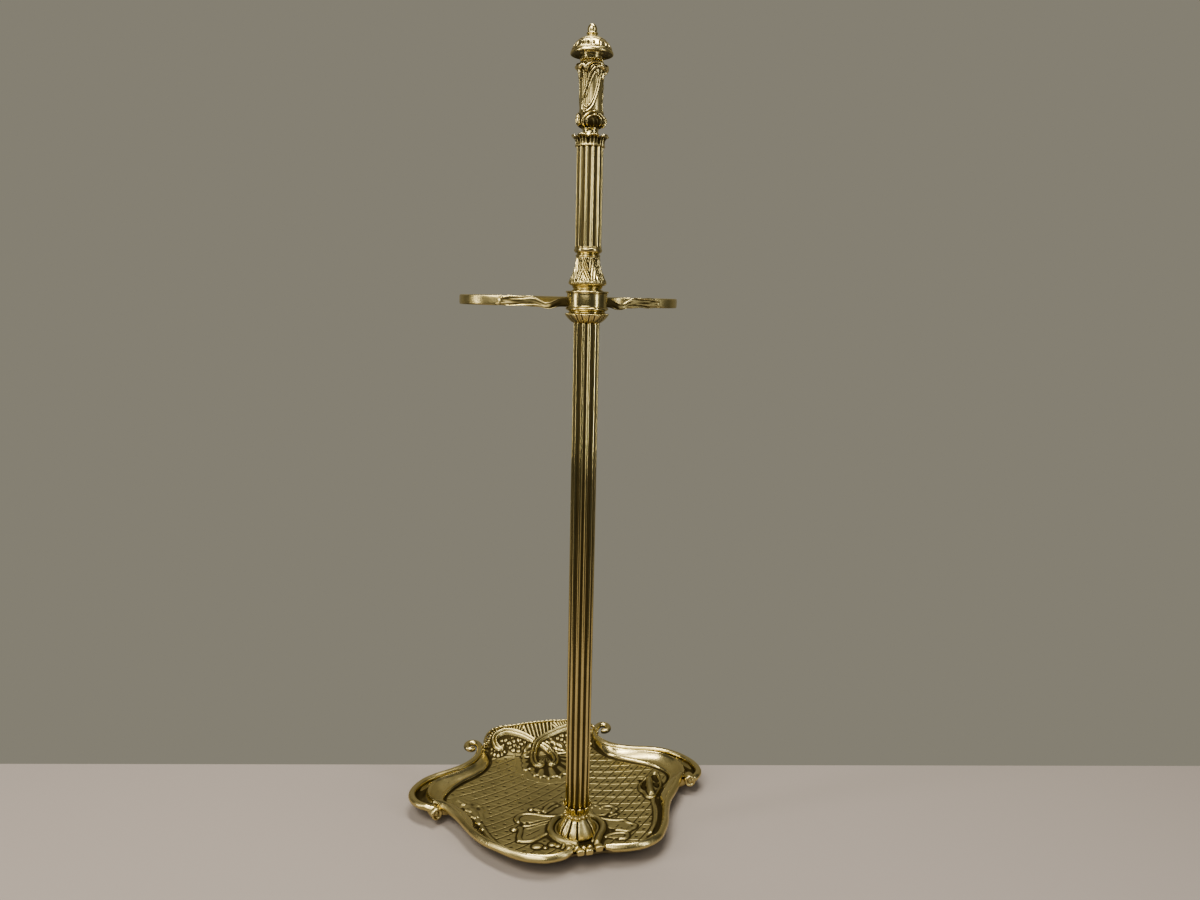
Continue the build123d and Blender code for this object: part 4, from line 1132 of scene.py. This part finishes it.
def dome_marks(T, r, z):
    """Row of holes, scalloped line and grooves of the dome, with painted shade in them and on its underside.
    """
    hole_u = ((T * 20 / (2 * math.pi)) % 1.0 - 0.5) * 2 * math.pi * 16.2 / 20
    hole = np.sqrt((hole_u * 1.25) ** 2 + ((z - 706.8 - 0.35 * hole_u) / 1.5) ** 2)
    pit = smooth(1.35, 0.75, hole) * (z > 704.4) * (r > 13.5)
    outside = (z > 703.2) | (r > 17.05)
    pit *= outside
    rim = bump(hole - 1.5, 0.3) * 0.12 * outside
    scallop_z = 710.3 + 0.9 * abs(np.cos(T * 5))
    line = bump(z - scallop_z, 0.55) * outside
    lower = bump(z - 703.6, 0.35) * outside
    # Painted shade on the underside.
    painted_underside_shade = ~outside & (r > 9.6)
    return r - 0.9 * pit + rim - 0.45 * line - 0.3 * lower, z, unit(1.4 * pit + 1.1 * line + 0.6 * lower +
        0.55 * painted_underside_shade)


dome = column_piece("dome_cap_looks", [(8.5, 699.8), (8.9, 701.2), (10.2, 702.4), (12.6, 702.9),
    (15.0, 702.2), (16.7, 701.0), (17.1, 700.5), (17.5, 700.8), (17.6, 701.6), (17.2, 702.8), (16.6, 704.2),
    (15.9, 705.8), (14.6, 707.9), (12.9, 710.2), (10.3, 712.3), (7.2, 713.9), (3.9, 714.8), (2.8, 714.8)],
    cast_brass, warp=dome_marks, turns=320, step=0.22)
finial = column_piece("finial_looks", [(4.3, 714.2), (4.6, 714.9), (3.9, 715.6), (4.4, 716.4), (4.8, 717.1),
    (4.3, 717.8), (3.6, 718.2), (3.8, 719.2), (3.9, 720.6), (3.4, 722.4), (2.2, 724.0), (0.35, 724.7)],
    turned_brass, inner=0.1, turns=64, step=0.2)


# ---- Umbrella ring ----

def loop_path(side):
    """Middle line of one loop: front strand first, round the loop, and back to the hub."""
    root, big = np.array([13.0, 8.0]), np.array([62.0, 61.0])
    small_r, big_r = 3.0, 36.8
    d = big - root
    heading = math.atan2(d[1], d[0])
    swing = math.acos((small_r - big_r) / np.linalg.norm(d))
    a0, a1 = heading - swing, heading + swing
    n0, n1 = np.array([math.cos(a0), math.sin(a0)]), np.array([math.cos(a1), math.sin(a1)])
    start, first = root + small_r * n0 - [4, 1.5], big + big_r * n0
    arc = [big + big_r * np.array([math.cos(a), math.sin(a)]) for a in np.linspace(a0, a1, 240)]
    line = [start + (first - start) * t for t in np.linspace(0, 1, 160)[:-1]]
    back = [arc[-1] + (root + small_r * n1 - arc[-1]) * t for t in np.linspace(0, 1, 60)[1:]]
    path = np.array(line + arc + back)
    path[:, 0] *= side
    path[:, 1] += COLUMN_Y
    return path


def strand_length(path):
    return np.concatenate([[0], np.cumsum(np.linalg.norm(np.diff(path[:, :2], axis=0), axis=1))])


def umbrella_loop(side):
    """Flat band bent into a loop, with an acanthus leaf laid over the front strand."""
    path = loop_path(side)
    s = strand_length(path)
    z = 502.4 - 3.6 * bump(s - 23, 8.0)
    angles = np.linspace(0, 2 * math.pi, 64, endpoint=False)
    tangent = np.gradient(path, axis=0)
    tangent /= np.linalg.norm(tangent, axis=1)[:, None]
    outward = np.stack([tangent[:, 1], -tangent[:, 0]], 1) * side
    in_leaf = smooth(10, 20, s) * smooth(68, 62, s)
    half_height = 4.25 - 1.9 * bump(s - 22, 9.0) + 0.3 * in_leaf * (0.6 + np.sin(s * 0.36 + 0.8))
    c, sn = np.cos(angles), np.sin(angles)
    box_c = np.sign(c) * abs(c) ** 0.45
    box_s = np.sign(sn) * abs(sn) ** 0.45
    front = smooth(0.15, 0.85, box_c)[None]
    across = box_s[None]
    end = 65.5 - 2.2 * across - 1.1 * abs(np.sin(across * 4.2))      # slanted, jagged outer end of the leaf
    along = s[:, None]
    leaf = front * smooth(10, 19, along) * smooth(end + 0.7, end - 0.5, along)
    lip = bump(along - end + 1.0, 0.9) * front
    midrib = bump(across - 0.05 + 0.25 * np.sin(along * 0.06), 0.10)
    veins = np.cos((across * 5.2 + 0.10 * along) * 2) * smooth(0.12, 0.3, abs(across))
    edge = smooth(0.70, 0.98, abs(across)) * (0.8 + 0.2 * np.sin(along * 0.9))
    relief = leaf * (0.9 + 0.35 * (1 - across ** 2) - 0.40 * midrib + 0.24 * veins + 0.75 *
        edge) + 0.9 * lip
    offset = (2.0 * box_c)[None] + relief
    rise = half_height[:, None] * box_s[None]
    # Painted shadow along the strand near the hub.
    painted_shadow_at_root = smooth(24, 14, along) * 0.95
    # Painted shade in the veins and midrib, painted highlight on the leaf's edges and lip.
    shade_and_wear = leaf * (0.30 + 0.50 * smooth(0.0, -0.9, veins) + 0.7 * midrib - 1.5 *
        edge) - 1.0 * lip + painted_shadow_at_root
    # Painted shade just past the leaf's end.
    shade_and_wear = shade_and_wear + 0.5 * front * bump(along - end - 1.0, 0.8)
    xy = path[:, None, :] + outward[:, None, :] * offset[:, :, None]
    points = np.concatenate([xy, (z[:, None] + rise)[:, :, None]], -1)
    faces = grid_faces(len(path), len(angles), wrap_columns=True)
    if side > 0:
        faces = faces[:, ::-1]
    return new_mesh("loop", points.reshape(-1, 3), faces, np.clip(shade_and_wear, -1, 1).ravel(), cast_brass)


drum = lathe("drum", [(16.6, 498.0), (17.1, 498.1), (17.3, 498.7), (17.1, 499.3), (17.15, 501), (17.2, 504),
    (17.15, 507), (17.1, 508.8), (17.3, 509.4), (16.9, 510)], turned_brass, turns=128, step=0.4)
umbrella = join("umbrella_ring_looks", [drum, umbrella_loop(1), umbrella_loop(-1)])
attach(umbrella, "root")

for piece in (floor_front, floor_back, tray_walls, tray_shell, tray_rails):
    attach(piece, "root")
    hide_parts("tray")
for piece, node in ((foot, "column_foot"), (collar, "foot_collar"), (lower_tube, "lower_tube"),
        (cup, "gadrooned_cup"), (cove, "cove_collar"), (umbrella, "umbrella_ring"), (flange, "hub_flange"),
        (seat, "baluster_seat"), (baluster, "baluster"), (tube_ring, "tube_ring"),
        (upper_tube, "upper_tube"), (crown, "leaf_crown"), (spacer, "neck_spacer"), (grip, "grip"),
        (neck, "beaded_neck"), (dome, "dome_cap"), (finial, "finial")):
    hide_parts(node)
for node in ("tie_rod", "tray_washer", "tray_nut"):
    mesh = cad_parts[node].data
    mesh.materials.clear()
    mesh.materials.append(dull_steel)


# ---- Stage, light and camera ----

def plain_material(name, colour):
    material = bpy.data.materials.new(name)
    material.use_nodes = True
    shader = material.node_tree.nodes["Principled BSDF"]
    shader.inputs["Base Color"].default_value = (*colour, 1)
    shader.inputs["Roughness"].default_value = 0.8
    return material


def panel(name, corners, material):
    mesh = bpy.data.meshes.new(name)
    mesh.from_pydata(corners, [], [tuple(range(len(corners)))])
    mesh.materials.append(material)
    plane = bpy.data.objects.new(name, mesh)
    bpy.context.scene.collection.objects.link(plane)
    return plane


EYE = (-0.1939, -0.6995, 0.5087)                 # from the front beads and the table
yaw, pitch, roll = (math.radians(angle) for angle in (15.5, 9.77, 1.3))
look = Vector((math.sin(yaw), math.cos(yaw), 0))
across = Vector((math.cos(yaw), -math.sin(yaw), 0))
eye_ground = Vector((EYE[0], EYE[1] + FRONT_Y * MM, 0))
BACKDROP = 2.40                                  # from the camera to the backdrop
TABLE_FRONT = 0.30                               # from the camera to the near edge of the table


def ground(right, ahead, z):
    return tuple(eye_ground + across * right + look * ahead + Vector((0, 0, z)))


TABLE_BACK_LEFT, TABLE_BACK_RIGHT = ground(-2.2, 0.826, 0), ground(2.2, 1.005, 0)
table_colour = plain_material("table", (0.330, 0.287, 0.250))
BACKDROP_LIGHT = (0.228, 0.214, 0.172)           # what the evenly lit backdrop sends back
wall_colour = bpy.data.materials.new("backdrop")
wall_colour.use_nodes = True
wall_shader = wall_colour.node_tree.nodes["Principled BSDF"]
wall_shader.inputs["Base Color"].default_value = (0, 0, 0, 1)
wall_shader.inputs["Specular IOR Level"].default_value = 0.0
wall_shader.inputs["Emission Color"].default_value = (*BACKDROP_LIGHT, 1)
wall_shader.inputs["Emission Strength"].default_value = 1.0
panel("table_top", [ground(-2.2, TABLE_FRONT, 0), ground(2.2, TABLE_FRONT, 0), TABLE_BACK_RIGHT,
    TABLE_BACK_LEFT], table_colour)
panel("backdrop_wall", [ground(-4, BACKDROP, -0.6), ground(4, BACKDROP, -0.6), ground(4, BACKDROP, 3),
    ground(-4, BACKDROP, 3)], wall_colour)

world = bpy.data.worlds.new("room")
world.use_nodes = True
nodes, links = world.node_tree.nodes, world.node_tree.links
dim = nodes["Background"]                        # lights the object
dim.inputs["Color"].default_value = (0.62, 0.63, 0.60, 1)
dim.inputs["Strength"].default_value = 0.11
seen = nodes.new("ShaderNodeBackground")         # shows as an even grey
seen.inputs["Color"].default_value = (*BACKDROP_LIGHT, 1)
ray = nodes.new("ShaderNodeLightPath")
choose = nodes.new("ShaderNodeMixShader")
links.new(ray.outputs["Is Camera Ray"], choose.inputs["Fac"])
links.new(dim.outputs[0], choose.inputs[1])
links.new(seen.outputs[0], choose.inputs[2])
links.new(choose.outputs[0], nodes["World Output"].inputs["Surface"])
bpy.context.scene.world = world


# Name, place (right, ahead, height), aim (the same), width, height, power and colour
WARM, COOL = (1, 0.97, 0.92), (0.97, 0.98, 1)
LIGHTS = [("key", (-0.7, -0.3, 1.9), (0, 0.8, 0.25), 0.9, 0.7, 26, WARM), ("overhead", (0.05, 0.86, 2.0),
    (0, 0.8, 0), 1.2, 0.4, 26, WARM), ("front_high", (-0.35, -0.9, 1.25), (0, 0.8, 0.4), 1.3, 1.1, 11,
    WARM), ("left_strip", (-1.15, 0.35, 0.75), (0, 0.8, 0.4), 0.16, 1.3, 5, WARM),
    ("right_strip", (1.0, 0.15, 0.75), (0, 0.8, 0.4), 0.09, 1.3, 4, COOL)]
for name, place, target, size, size_y, power, colour in LIGHTS:
    light = bpy.data.lights.new(name, "AREA")
    light.shape = "RECTANGLE"
    light.size, light.size_y = size, size_y
    light.energy = power
    light.color = colour
    lamp = bpy.data.objects.new(name, light)
    lamp.location = ground(*place)
    aim = Vector(ground(*target)) - lamp.location
    lamp.rotation_euler = aim.to_track_quat("-Z", "Y").to_euler()
    bpy.context.scene.collection.objects.link(lamp)

bpy.context.scene.view_settings.look = "AgX - Medium High Contrast"
camera_data = bpy.data.cameras.new("camera")
camera_data.lens = 27.0
camera_data.sensor_width = 36.0
camera = bpy.data.objects.new("camera", camera_data)
bpy.context.scene.collection.objects.link(camera)
forward = look * math.cos(pitch) - Vector((0, 0, math.sin(pitch)))
level = forward.cross(Vector((0, 0, 1))).normalized()
upward = level.cross(forward)
right_axis = level * math.cos(roll) + upward * math.sin(roll)
up_axis = upward * math.cos(roll) - level * math.sin(roll)
turn = Matrix((right_axis, up_axis, -forward)).transposed().to_4x4()
camera.matrix_world = Matrix.Translation(eye_ground + Vector((0, 0, EYE[2]))) @ turn
bpy.context.scene.camera = camera
